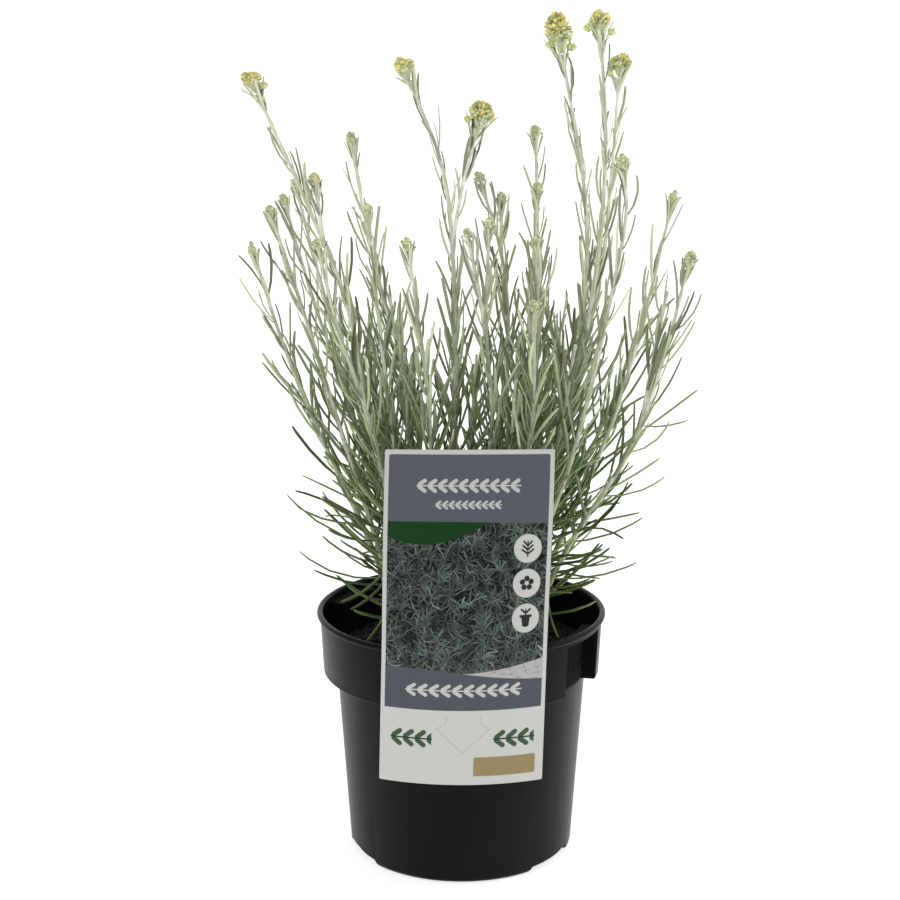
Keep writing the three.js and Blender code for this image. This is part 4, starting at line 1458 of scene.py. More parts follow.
    def paint_foot(self, art: Drawing, inner: Socket) -> None:
        """Paints the lower slate band, the lilac swell above it and the foot's garland and strip.

        Args:
            art: The drawing.
            inner: The mask of all that lies within the border.
        """
        nodes = art.nodes
        lower = nodes.times(inner, art.step(art.y, self.band))
        swell = art.without(lower, art.step(art.wave(58.5, 5.0, 150.0, 3.3), 0.0))
        lilac = nodes.times(swell, art.step(art.x, 34.0))
        art.paint(lilac, self.lilac)
        vines = nodes.group(art.effects.needles, Vector=art.vector, Spacing=4.2, Needles=2.5, Seed=5.0,
                            Half_Width=0.2)
        art.paint(nodes.times(lilac, vines.outputs["Mask"], 0.5), self.slate)
        art.paint(art.without(lower, art.step(art.wave(52.5, 3.2, 150.0, 1.2), 0.0)), self.slate_low)
        art.paint(art.garland(12.0, 65.0, 45.5, 5.3, 1.0), self.sheet)
        for start in (5.5, 53.0):
            art.paint(art.garland(start, start + 19.0, 22.0, 5.6, 1.35), self.green)
        art.paint(art.panel(58.5, 8.8, 14.5, 4.6, 0.9), self.gold)

    def build(self, effects: Effects) -> Material:
        """Makes the material.

        Args:
            effects: The shared effects.

        Returns:
            The material.
        """
        material, nodes, shader = new_material("printed_label")
        art = Drawing(nodes, effects, self.sheet)
        middle, half = self.width / 2.0, self.height / 2.0
        inner = art.panel(middle, half, middle - self.border, half - self.border, 1.0)
        art.paint(nodes.times(inner, art.step(art.y, self.band)), self.picture(art))
        self.paint_header(art, inner)
        self.paint_foot(art, inner)
        for y, sign in zip(self.sign_heights, (self.sprig_sign, self.flower_sign, self.pot_sign)):
            art.paint(art.disc(self.sign_x, y, self.sign_radius), self.sheet)
            art.paint(sign(art, self.sign_x, y), self.ink_and_press_shade)
        crease = art.any(*[art.stroke(start, end, half) for start, end, half in self.creases])
        art.paint(nodes.times(crease, 0.7), self.sheet)
        # The pressed outline is bumped and also painted a little towards the ink: painted shade along the
        # pressed line.
        press = self.emboss(art)
        art.paint(nodes.times(press, 0.22), self.ink_and_press_shade)
        mottle = nodes.group(effects.mottle, Vector=nodes.place(), Scale=60.0, Depth=0.025)
        relief = nodes.plus(nodes.times(press, 0.5), crease)
        nodes.put(shader, Base_Color=nodes.shade(art.colour, mottle.outputs[0]), Roughness=0.42,
                  Specular_IOR_Level=0.15, Normal=nodes.bump(relief, 0.6, 0.0002))
        return material


# The plant


class HeadKind(Enum):
    """How far a head has come."""

    OPEN = "open"
    YELLOWING = "yellowing"
    BUD = "bud"
    SLIM = "slim"


@dataclass(frozen=True)
class Head:
    """A head at a stem's tip, with the (x, z, size) of clusters that stand beside it."""

    kind: HeadKind
    width: float
    height: float
    sides: tuple[Point3, ...] = ()


@dataclass(frozen=True)
class Branch:
    """A side shoot that leaves its stem at a height."""

    fork: float
    tip_y: float
    way: tuple[Point2, ...]
    leaves: int
    head: Optional[Head] = None


@dataclass(frozen=True)
class Stem:
    """A stem: where it stands, the depth of its tip, the (x, z) points that it passes."""

    name: str
    foot: Point2
    tip_y: float
    way: tuple[Point2, ...]
    radius: float
    leaves: int
    head: Optional[Head] = None
    branch: Optional[Branch] = None


OPEN, YELLOWING, BUD, SLIM = HeadKind.OPEN, HeadKind.YELLOWING, HeadKind.BUD, HeadKind.SLIM

STEMS: tuple[Stem, ...] = (
    Stem("left_1", (-24, 7), 5, ((-44, 150), (-68, 205), (-85, 250), (-97, 290)), 1.5, 14,
         Head(SLIM, 4.5, 8)),
    Stem("left_2", (-20, 0), -18, ((-30, 150), (-42, 210), (-53, 270), (-71, 318), (-92, 367)), 1.7, 15,
         Head(OPEN, 10, 11.5, ((4.2, 2.0, 4.5),)),
         Branch(300, -23, ((-66, 326),), 1, Head(YELLOWING, 5.5, 7))),
    Stem("left_3", (-16, 7), 22, ((-31, 150), (-49, 215), (-65, 268), (-78, 319)), 1.4, 12,
         Head(BUD, 5, 6.5)),
    Stem("left_4", (-20, 14), 40, ((-36, 150), (-55, 215), (-72, 265), (-85, 310)), 1.4, 13,
         Head(BUD, 5, 6.5)),
    Stem("left_5", (-24, -7), -10, ((-39, 150), (-57, 210), (-74, 268), (-87, 310)), 1.6, 14,
         Head(BUD, 5, 7)),
    Stem("left_6", (-20, -14), -40, ((-29, 150), (-40, 210), (-56, 263), (-64, 299)), 1.5, 13,
         Head(BUD, 5.6, 6)),
    Stem("left_7", (-12, 14), 52, ((-17, 150), (-23, 210), (-38, 265), (-46, 298), (-53, 338)), 1.5, 14,
         Head(BUD, 6, 7.5)),
    Stem("left_8", (-16, -7), -28, ((-23, 150), (-32, 210), (-38, 265), (-42, 313)), 1.4, 12,
         Head(BUD, 4.5, 6)),
    Stem("middle_1", (-4, 0), 4, ((-4, 150), (-3, 220), (-4, 290), (-9, 332), (-24, 372)), 2, 16,
         Head(OPEN, 9.5, 11),
         Branch(296, -8, ((0, 322), (7, 351)), 3, Head(OPEN, 12.5, 12.5, ((-5.2, 3.0, 4.0),)))),
    Stem("middle_2", (-12, -14), -44, ((-13, 150), (-15, 225), (-20, 270), (-24, 299)), 1.4, 11,
         Head(BUD, 5, 7)),
    Stem("middle_3", (0, -7), -38, ((6, 150), (14, 215), (11, 262), (12, 308)), 1.5, 12,
         Head(BUD, 5.2, 6.2), Branch(258, -42, ((8, 278), (3, 304)), 2, Head(BUD, 4.5, 6))),
    Stem("middle_4", (4, 21), 62, ((12, 150), (22, 215), (23, 262), (18, 293), (10, 319)), 1.5, 13,
         Head(BUD, 5, 6.5), Branch(284, 65, ((20, 309),), 1, Head(BUD, 5, 6))),
    Stem("centre_1", (4, 14), 66, ((20, 150), (36, 215), (38, 275), (37, 340)), 1.5, 14,
         Head(BUD, 6.5, 7.5)),
    Stem("centre_2", (8, 7), 25, ((18, 150), (31, 215), (34, 270), (36, 317)), 1.5, 12,
         Head(BUD, 5.5, 6.5)),
    Stem("centre_3", (8, -7), -20, ((18, 150), (32, 220), (35, 262), (34, 298)), 1.4, 12,
         Head(BUD, 5.2, 6)),
    Stem("centre_4", (12, -14), -46, ((21, 150), (32, 215), (32, 272)), 1.4, 11,
         Head(BUD, 5.2, 6)),
    Stem("centre_5", (12, 0), 5, ((29, 150), (47, 212), (44, 250), (38, 277)), 1.3, 11),
    Stem("right_1", (16, 7), 22, ((36, 150), (50, 200), (59, 270), (58, 322), (47, 383)), 2, 16,
         Head(OPEN, 13, 19, ((4.6, 1.8, 6.0), (-4.6, 5.0, 5.0)))),
    Stem("right_2", (20, 0), -6, ((33, 150), (49, 212), (62, 280), (66, 340), (63, 392)), 1.7, 15,
         Head(OPEN, 11.5, 12.5, ((-5.6, 4.0, 5.0), (4.6, 1.5, 4.0)))),
    Stem("right_3", (12, 14), 50, ((31, 150), (51, 212), (67, 270), (73, 325), (76, 371)), 1.7, 15,
         Head(OPEN, 11.5, 12, ((-4.6, 1.5, 4.2),))),
    Stem("right_4", (20, -14), -42, ((35, 150), (54, 212), (68, 282), (73, 316), (71, 335)), 1.5, 14,
         Head(BUD, 5.6, 7.5)),
    Stem("right_5", (24, 7), 15, ((48, 150), (73, 210), (89, 268), (99, 313)), 1.5, 13,
         Head(SLIM, 5, 8)),
    Stem("right_6", (24, -7), -22, ((49, 150), (79, 202), (93, 245), (103, 288)), 1.6, 14,
         Head(YELLOWING, 6.5, 9), Branch(214, -14, ((89, 245), (95, 277)), 3)),
    Stem("shoot_1", (16, -7), -14, ((30, 150), (45, 203), (53, 252)), 1.3, 12),
    Stem("shoot_2", (20, 14), 34, ((42, 150), (70, 205), (86, 250)), 1.3, 12),
    Stem("shoot_3", (-8, -7), -16, ((-18, 150), (-25, 210), (-30, 264)), 1.3, 12),
    Stem("shoot_4", (-12, 0), 10, ((-26, 150), (-38, 205), (-45, 252)), 1.3, 12),
    Stem("shoot_5", (-4, 21), 58, ((0, 150), (5, 195), (8, 234)), 1.3, 12),
    Stem("shoot_6", (4, -14), -32, ((14, 150), (22, 200), (25, 243)), 1.3, 11),
    Stem("shoot_7", (-12, 21), 60, ((-28, 150), (-48, 200), (-62, 243)), 1.3, 12),
    Stem("shoot_8", (12, 21), 72, ((24, 150), (38, 195), (50, 232)), 1.3, 12),
)


@dataclass(frozen=True)
class StrayLeaf:
    """A leaf that stands out in the view: its stem, the height of its root, its tip and its look."""

    stem: str
    height: float
    tip: Point3
    width: float
    arch: float
    tone: float = 0.5


STRAYS: tuple[StrayLeaf, ...] = (
    StrayLeaf("left_5", 141, (-58, -10, 125.5), 2.6, 2.5, 0.05),
    StrayLeaf("left_5", 137, (-53, -17, 124), 2.0, 2.0, 0.0),
    StrayLeaf("left_5", 129, (-45, -26, 111.5), 1.2, 3.0, 0.55),
    StrayLeaf("left_1", 133, (-78, -6, 150), 1.5, 5.0, 0.5),
    StrayLeaf("left_1", 150, (-84, 2, 176), 1.5, 4.0, 0.45),
    StrayLeaf("right_6", 132, (46, -29, 114), 1.2, 4.0, 0.6),
    StrayLeaf("right_6", 214, (106, -14, 216), 1.3, 1.5, 0.4),
    StrayLeaf("right_6", 138, (84, -12, 146), 1.4, 3.0, 0.45),
    StrayLeaf("right_5", 150, (88, 4, 164), 1.5, 3.5, 0.5),
)


@dataclass(frozen=True)
class GrowthSizes:
    """The rules that stems and leaves grow by, in millimetres and degrees."""

    stem_foot: float = 90.0
    stem_step: float = 27.0
    stem_sides: int = 4
    tip_radius: float = 0.75
    depth_power: float = 0.85
    branch_foot_radius: float = 1.05
    branch_tip_radius: float = 0.8
    leaf_width: float = 1.5
    leaf_clearance: float = 0.4
    leaf_low: Point3 = (115.0, 42.0, 70.0)
    leaf_middle: Point3 = (215.0, 31.0, 29.0)
    leaf_high: Point3 = (350.0, 20.0, 15.0)
    crowding: float = 1.15
    tries: int = 12
    shorter: float = 0.18
    free_from: float = 4.0
    starts: tuple[float, float] = (0.13, 0.3)
    ends: tuple[float, float] = (0.955, 0.985)
    length_spread: Point2 = (0.8, 1.2)
    angle_spread: Point2 = (0.75, 1.2)
    curl_spread: Point2 = (0.12, 0.52)
    over_rim: float = 1.6
    over_soil: float = 3.0
    inside_wall: float = 4.0
    beside_label: float = 4.0
    behind_label: float = 2.2
    seat: float = 0.3
    head_room: float = 4.0
    fill_spacing: float = 3.1
    fill_from: float = 124.0
    thins: Point3 = (205.0, 300.0, 0.22)
    outer: Point3 = (44.0, 78.0, 0.36)
    overhang: float = 0.022
    droops: Point2 = (125.0, 190.0)
    clasp_spacing: float = 9.0
    clasp_from: float = 165.0
    clasp_length: Point2 = (11.0, 21.0)
    clasp_angle: Point2 = (7.0, 13.0)
    widths: Point2 = (1.85, 1.25)
    width_spread: Point2 = (0.82, 1.18)
    bow: float = 4.0
    arch: float = 3.6
    roll: float = 1.2
    twist: float = 1.6
    fill_shares: Point3 = (0.05, 0.15, 0.975)
    fill_angle: Point2 = (0.5, 1.1)
    fill_length: Point2 = (0.7, 1.15)
    fill_curl: Point3 = (-0.12, -0.6, 0.6)
    fill_tries: int = 8
    fill_turn: float = 0.8
    fill_shorter: float = 0.12
    clasp_shares: Point2 = (0.2, 0.88)
    clasp_width: float = 0.74
    clasp_curl: float = 0.05
    plant_top: float = 405.0


class Route:
    """A smooth way through given points, read by the share of its length."""

    DIVISIONS = 200
    NUDGE = 0.0001

    def __init__(self, points: Array) -> None:
        """Measures the way.

        Args:
            points: The points that it passes.
        """
        self.points = np.vstack([2 * points[0] - points[1], points, 2 * points[-1] - points[-2]])
        self.count = len(points)
        self.steps = np.linspace(0.0, 1.0, self.DIVISIONS + 1)
        spans = np.linalg.norm(np.diff(self.at(self.steps), axis=0), axis=1)
        self.reach = np.concatenate([[0.0], np.cumsum(spans)])
        self.length = float(self.reach[-1])

    def at(self, steps: Array) -> Array:
        """Gives places by the curve's own measure.

        Args:
            steps: Values from 0 to 1.

        Returns:
            The places, one a row.
        """
        way = (self.count - 1) * np.atleast_1d(np.asarray(steps, dtype=float))
        start = np.minimum(np.floor(way).astype(int), self.count - 2)
        w = (way - start)[:, None]
        before, first, second, after = (self.points[start + k] for k in range(4))
        out, into = (second - before) / 2.0, (after - first) / 2.0
        bend = 3.0 * (second - first) - 2.0 * out - into
        turn = 2.0 * (first - second) + out + into
        return first + out * w + bend * w ** 2 + turn * w ** 3

    def measure(self, shares: Array) -> Array:
        """Turns shares of the length into the curve's own measure."""
        return np.interp(np.atleast_1d(shares) * self.length, self.reach, self.steps)

    def place(self, shares: Array) -> Array:
        """Gives the places at shares of the length."""
        return self.at(self.measure(shares))

    def heading(self, shares: Array) -> Array:
        """Gives the directions at shares of the length."""
        steps = self.measure(shares)
        ahead = self.at(np.minimum(steps + self.NUDGE, 1.0)) - self.at(np.maximum(steps - self.NUDGE, 0.0))
        return unit(ahead)

    def frames(self, shares: Array) -> tuple[Array, Array, Array]:
        """Gives the way along and the two ways across at shares of the length.

        Args:
            shares: The shares.

        Returns:
            The way along, the side way and the back way, one a row.
        """
        along = self.heading(shares)
        side = unit(np.array([1.0, 0.0, 0.0]) - along * along[:, :1])
        return along, side, np.cross(along, side)

    def step_at_height(self, height: float) -> float:
        """Finds where the way rises past a height.

        Args:
            height: The height.

        Returns:
            The curve's own measure there.
        """
        low, high = 0.0, 1.0
        for _ in range(30):
            middle = (low + high) / 2.0
            if self.at(middle)[0, 2] < height:
                low = middle
            else:
                high = middle
        return low


@dataclass(frozen=True)
class Axis:
    """A stem or a branch with its route."""

    name: str
    stem: str
    route: Route
    radius: float
    tip: float
    leaves: int
    head: Optional[Head]
    is_branch: bool
    order: int

    def radius_at(self, share: float) -> float:
        """Gives the radius at a share of the length."""
        return lerp(self.radius, self.tip, share)


@dataclass(frozen=True)
class Leaf:
    """A leaf by its root, middle and tip, the way it sets out and the way across its blade."""

    root: Array
    middle: Array
    tip: Array
    first: Array
    blade: Array
    width: float = 1.5
    bow: float = 0.0
    arch: float = 0.0
    roll: float = 0.0
    twist: float = 0.0
    tone: float = 0.5


class Obstacles:
    """Thick lines that leaves keep clear of, each belonging to a node."""

    def __init__(self) -> None:
        """Starts with none."""
        self.starts: list[Array] = []
        self.ends: list[Array] = []
        self.radii: list[float] = []
        self.nodes: list[int] = []
        self.names: dict[str, int] = {}

    def add(self, start: Array, end: Array, radius: float, node: str) -> None:
        """Adds a line.

        Args:
            start: Its start.
            end: Its end.
            radius: Its radius.
            node: The node that it belongs to.
        """
        self.starts.append(start)
        self.ends.append(end)
        self.radii.append(radius)
        self.nodes.append(self.names.setdefault(node, len(self.names)))

    def touched(self, start: Array, end: Array, reach: float, node: str) -> bool:
        """Tells whether a line comes too near one of another node.

        Args:
            start: The line's start.
            end: Its end.
            reach: Its radius with its clearance.
            node: The node that it belongs to.

        Returns:
            Whether it does.
        """
        starts, ends, radii, nodes = (np.array(v) for v in (self.starts, self.ends, self.radii, self.nodes))
        others = nodes != self.names.get(node, -1)
        gaps = line_gaps(start, end, starts[others], ends[others])
        return bool(np.any(gaps < radii[others] + reach))


def line_gaps(start: Array, end: Array, starts: Array, ends: Array) -> Array:
    """Gives the shortest distances from one line to many.

    Args:
        start: The line's start.
        end: Its end.
        starts: The other lines' starts.
        ends: Their ends.

    Returns:
        The distances.
    """
    first, second, gap = end - start, ends - starts, start - starts
    a, e = first @ first, np.sum(second * second, axis=1)
    b, c, f = second @ first, gap @ first, np.sum(second * gap, axis=1)
    spread = a * e - b * b
    s = np.where(spread > 1e-9, np.clip((b * f - c * e) / np.maximum(spread, 1e-9), 0.0, 1.0), 0.0)
    t = (b * s + f) / e
    s = np.where(t < 0.0, np.clip(-c / a, 0.0, 1.0), np.where(t > 1.0, np.clip((b - c) / a, 0.0, 1.0), s))
    t = np.clip(t, 0.0, 1.0)
    near = start + s[:, None] * first - starts - t[:, None] * second
    return np.linalg.norm(near, axis=1)


class Growth:
    """Grows every stem and places every leaf by one fixed rule."""

    FILLING_LOOKS = 300
    CLASPING_LOOKS = 700

    def __init__(self, sizes: GrowthSizes, pot: PotSizes, label: LabelSizes,
                 box: Sequence[Sequence[float]]) -> None:
        """Grows the plant.

        Args:
            sizes: The rules' sizes.
            pot: The pot that the leaves keep clear of.
            label: The label that they keep clear of.
            box: The solid part's lowest and highest corners in metres.
        """
        self.sizes = sizes
        self.box = box
        self.pot = pot
        self.label = label
        self.axes = self.grow_axes()
        self.obstacles = self.axis_obstacles()
        self.leaves: dict[str, list[Leaf]] = {axis.stem: [] for axis in self.axes}
        self.place_main_leaves()
        self.place_filling_leaves()
        self.place_clasping_leaves()
        self.place_stray_leaves()

    def route(self, start: Array, way: Sequence[Point2], tip_y: float) -> Route:
        """Gives a stem's route: its depth goes from the foot's to the tip's along the rise.

        Args:
            start: Where it starts.
            way: The (x, z) points that it passes.
            tip_y: The tip's depth.

        Returns:
            The route.
        """
        top = way[-1][1]
        points = [start]
        for x, z in way:
            share = ((z - start[2]) / (top - start[2])) ** self.sizes.depth_power
            points.append(np.array([x, lerp(start[1], tip_y, share), z]))
        return Route(np.array(points, dtype=float))

    def grow_axes(self) -> list[Axis]:
        """Makes every stem and branch.

        Returns:
            Each stem, followed by its branch.
        """
        s = self.sizes
        axes: list[Axis] = []
        for stem in STEMS:
            start = np.array([*stem.foot, s.stem_foot], dtype=float)
            route = self.route(start, stem.way, stem.tip_y)
            axes.append(Axis(stem.name, stem.name, route, stem.radius, s.tip_radius, stem.leaves,
                             stem.head, False, len(axes)))
            if stem.branch is None:
                continue
            fork = route.at(route.step_at_height(stem.branch.fork))[0]
            forked = self.route(fork, stem.branch.way, stem.branch.tip_y)
            axes.append(Axis(f"{stem.name}_side", stem.name, forked, s.branch_foot_radius,
                             s.branch_tip_radius, stem.branch.leaves, stem.branch.head, True, len(axes)))
        return axes

    def axis_obstacles(self) -> Obstacles:
        """Makes the lines of the stems and the heads.

        Returns:
            The lines.
        """
        obstacles = Obstacles()
        for axis in self.axes:
            steps = 2 * max(2, round(axis.route.length / self.sizes.stem_step))
            points = axis.route.place(np.linspace(0.0, 1.0, steps + 1))
            for i in range(steps):
                radius = axis.radius_at(i / steps)
                obstacles.add(points[i], points[i + 1], radius, f"stem_{axis.stem}")
            if axis.head is None:
                continue
            tip, up = axis.route.place(1.0)[0], axis.route.heading(1.0)[0]
            wide, tall = axis.head.width, axis.head.height
            low, high = min(wide, tall) / 2.0, max(tall - wide / 2.0, tall / 2.0)
            obstacles.add(tip + up * low, tip + up * high, wide / 2.0, f"head_{axis.name}")
        return obstacles

    def habit(self, height: float) -> Point2:
        """Gives a leaf's length and its angle to the stem.

        Args:
            height: The height that it grows at.

        Returns:
            The length and the angle in degrees.
        """
        s = self.sizes
        low = smoothstep(height, s.leaf_low[0], s.leaf_middle[0])
        high = (height - s.leaf_middle[0]) / (s.leaf_high[0] - s.leaf_middle[0])
        high = min(max(high, 0.0), 1.0)
        _, length, angle = (lerp(lerp(a, b, low), c, high)
                            for a, b, c in zip(s.leaf_low, s.leaf_middle, s.leaf_high))
        return length, angle

    def room_for(self, axis: Axis, share: float, length: float, angle: float) -> float:
        """Shortens a leaf that would stand above the head of its stem.

        Args:
            axis: The stem.
            share: Where on the stem it grows.
            length: The length that it would have.
            angle: Its angle to the stem, in radians.

        Returns:
            The length that it has.
        """
        if axis.head is None:
            return length
        room = axis.route.length * (1.0 - share) + self.sizes.head_room
        return min(length, room / math.cos(angle))

    def shape(self, axis: Axis, share: float, turn: float, length: float, angle: float,
              curl: float, **looks: float) -> Leaf:
        """Gives a leaf's form.

        Args:
            axis: The stem that it grows on.
            share: Where on the stem.
            turn: The way that it faces round the stem, in radians.
            length: Its length.
            angle: Its angle to the stem, in radians.
            curl: How far its outer half turns up.
            looks: Its width, bow, twist and tone.

        Returns:
            The leaf.
        """
        along, side, front = (v[0] for v in axis.route.frames(share))
        out = side * math.cos(turn) + front * math.sin(turn)
        first = along * math.cos(angle) + out * math.sin(angle)
        second = unit(first + np.array([0.0, 0.0, curl]))
        root = axis.route.place(share)[0]
        middle = root + first * length / 2.0
        tip = middle + second * length / 2.0
        return Leaf(root, middle, tip, first, np.cross(along, out), **looks)

    def clear_of_pot(self, points: Array) -> bool:
        """Tells whether points are clear of the mix, the wall, the rim and the label.

        Args:
            points: The points, one a row.

        Returns:
            Whether all are.
        """
        s = self.sizes
        for x, y, z in points.tolist():
            over_rim = z > self.pot.height + s.over_rim
            inside = math.hypot(x, y) < self.pot.body_top - s.inside_wall
            if z < MIX_LEVEL + s.over_soil or not (over_rim or inside):
                return False
            if z > self.label.top + s.behind_label:
                continue
            beside = abs(x - self.label.centre_at_rim) > self.label.width / 2.0 + s.beside_label
            if not beside and y <= self.label.point(x, z, 0.0).y + s.behind_label:
                return False
        return True

    def within_reach(self, tip: Array) -> bool:
        """Tells whether a leaf's tip stays by the solid part's box."""
        low, high = (np.array(corner[:]) / MM for corner in self.box)
        slack = (high - low) * self.sizes.overhang
        return bool(np.all(tip > low - slack) and np.all(tip < high + slack))

    def leaf_is_clear(self, leaf: Leaf, stem: str) -> bool:
        """Tells whether a leaf is clear of the pot, the label and every other node.

        Args:
            leaf: The leaf.
            stem: The stem that it grows on.

        Returns:
            Whether it is.
        """
        start = leaf.root + leaf.first * self.sizes.free_from
        shares = np.arange(0.0, 1.01, 0.25)[:, None]
        spots = np.vstack([lerp(start, leaf.middle, shares), lerp(leaf.middle, leaf.tip, shares)])
        if not self.clear_of_pot(spots):
            return False
        reach = self.sizes.leaf_width / 2.0 + self.sizes.leaf_clearance
        node = f"stem_{stem}"
        return not (self.obstacles.touched(start, leaf.middle, reach, node)
                    or self.obstacles.touched(leaf.middle, leaf.tip, reach, node))

    def main_leaf(self, axis: Axis, k: int) -> Optional[Leaf]:
        """Places one of a stem's main leaves, which the solid part has too.

        Args:
            axis: The stem.
            k: The leaf's number.

        Returns:
            The leaf, or None where it finds no room.
        """
        s = self.sizes
        start = s.starts[1] if axis.is_branch else s.starts[0]
        end = s.ends[0] if axis.head else s.ends[1]
        share = lerp(start, end, ((k + 0.25 + 0.5 * scatter(axis.order, k, 1)) / axis.leaves) ** s.crowding)
        length, angle = self.habit(axis.route.place(share)[0, 2])
        length *= lerp(*s.length_spread, scatter(axis.order, k, 2))
        angle = math.radians(angle * lerp(*s.angle_spread, scatter(axis.order, k, 3)))
        length = self.room_for(axis, share, length, angle)
        curl = lerp(*s.curl_spread, scatter(axis.order, k, 4))
        flat = math.floor(k * GOLDEN_ANGLE * s.stem_sides / (2.0 * math.pi) + 0.5) + axis.order
        looks = self.looks(axis, k, share)
        for attempt in range(s.tries):
            reach = length * (1.0 - s.shorter * (attempt // s.stem_sides))
            turn = (flat + attempt + 0.5) / s.stem_sides * 2.0 * math.pi
            leaf = self.shape(axis, share, turn, reach, angle, curl, **looks)
            if self.leaf_is_clear(leaf, axis.stem):
                return leaf
        return None

    def looks(self, axis: Axis, k: int, share: float) -> dict[str, float]:
        """Gives a leaf's width, bow, arch, twist and tone.

        Args:
            axis: The stem.
            k: The leaf's number.
            share: Where on the stem it grows.

        Returns:
            The values by name.
        """
        s, d = self.sizes, scatters(axis.order + Draw.LOOKS, k, 6)
        return {"width": lerp(*s.widths, share) * lerp(*s.width_spread, d[0]), "bow": s.bow * (d[1] - 0.5),
                "arch": s.arch * (d[5] - 0.5), "roll": s.roll * (d[4] - 0.5),
                "twist": s.twist * (d[2] - 0.5), "tone": d[3]}

    def place_main_leaves(self) -> None:
        """Places the leaves that the solid part has too, round by round."""
        for k in range(max(axis.leaves for axis in self.axes)):
            for axis in self.axes:
                leaf = self.main_leaf(axis, k) if k < axis.leaves else None
                if leaf is None:
                    continue
                node = f"stem_{axis.stem}"
                self.obstacles.add(leaf.root, leaf.middle, self.sizes.leaf_width / 2.0, node)
                self.obstacles.add(leaf.middle, leaf.tip, self.sizes.leaf_width / 2.0, node)
                self.leaves[axis.stem].append(leaf)

    def place_filling_leaves(self) -> None:
        """Places the leaves between the main ones, clear of the pot and the label."""
        s = self.sizes
        for axis in self.axes:
            count = round(axis.route.length / s.fill_spacing)
            for k in range(count):
                d = scatters(axis.order + Draw.FILLING, k, 6)
                share = lerp(s.fill_shares[axis.is_branch], s.fill_shares[2], (k + d[0]) / count)
                height = axis.route.place(share)[0, 2]
                aside = abs(axis.route.place(1.0)[0, 0])
                kept = lerp(1.0, s.thins[2], smoothstep(height, *s.thins[:2]))
                kept *= lerp(1.0, s.outer[2], smoothstep(aside, *s.outer[:2]))
                if height < s.fill_from + 14.0 * d[5] or scatter(axis.order + Draw.THINNING, k, 6) > kept:
                    continue
                length, angle = self.habit(height)
                angle = math.radians(angle * lerp(*s.fill_angle, d[2]))
                length = self.room_for(axis, share, length * lerp(*s.fill_length, d[1]), angle)
                droop = 1.0 - smoothstep(height, *s.droops)
                curl = lerp(lerp(*s.fill_curl[:2], droop), s.fill_curl[2], d[3])
                looks = self.looks(axis, k + self.FILLING_LOOKS, share)
                for attempt in range(s.fill_tries):
                    turn = k * GOLDEN_ANGLE + d[4] + attempt * s.fill_turn
                    reach = length * (1.0 - s.fill_shorter * (attempt // 2))
                    leaf = self.shape(axis, share, turn, reach, angle, curl, **looks)
                    start = leaf.root + leaf.first * s.free_from
                    spots = np.array([start, leaf.middle, (leaf.middle + leaf.tip) / 2.0, leaf.tip,
                                      (start + leaf.middle) / 2.0])
                    if self.within_reach(leaf.tip) and self.clear_of_pot(spots):
                        self.leaves[axis.stem].append(leaf)
                        break

    def place_clasping_leaves(self) -> None:
        """Places the short upright leaves that lie along the stems."""
        s = self.sizes
        for axis in self.axes:
            count = round(axis.route.length / s.clasp_spacing)
            for k in range(count):
                d = scatters(axis.order + Draw.CLASPING, k, 5)
                share = lerp(*s.clasp_shares, (k + d[0]) / count)
                if axis.route.place(share)[0, 2] < s.clasp_from:
                    continue
                angle = math.radians(lerp(*s.clasp_angle, d[1]))
                length = self.room_for(axis, share, lerp(*s.clasp_length, d[2]), angle)
                looks = self.looks(axis, k + self.CLASPING_LOOKS, share)
                # Their tones are lifted as painted light, offsetting the shade that they lie in along the
                # stems.
                looks.update(bow=looks["bow"] * 0.3, arch=-0.6 - 0.8 * d[3],
                             width=looks["width"] * s.clasp_width, tone=lerp(0.3, 1.0, looks["tone"]))
                turn = k * GOLDEN_ANGLE + d[4]
                leaf = self.shape(axis, share, turn, length, angle, s.clasp_curl, **looks)
                if self.within_reach(leaf.tip):
                    self.leaves[axis.stem].append(leaf)

    def place_stray_leaves(self) -> None:
        """Places the leaves that stand out in the view."""
        routes = {axis.name: axis.route for axis in self.axes}
        for stray in STRAYS:
            route = routes[stray.stem]
            root = route.at(route.step_at_height(stray.height))[0]
            tip = np.array(stray.tip, dtype=float)
            way = unit(tip - root)
            leaf = Leaf(root, (root + tip) / 2.0, tip, way, unit(np.cross(way, (0.0, 0.0, 1.0))),
                        stray.width, arch=stray.arch, tone=stray.tone)
            self.leaves[stray.stem].append(leaf)


def rise_of(points: Array, top: float) -> Array:
    """Gives each point's height as a share of the way from the mix to the plant's top."""
    return np.clip((points[:, 2] - MIX_LEVEL) / (top - MIX_LEVEL), 0.0, 1.0)


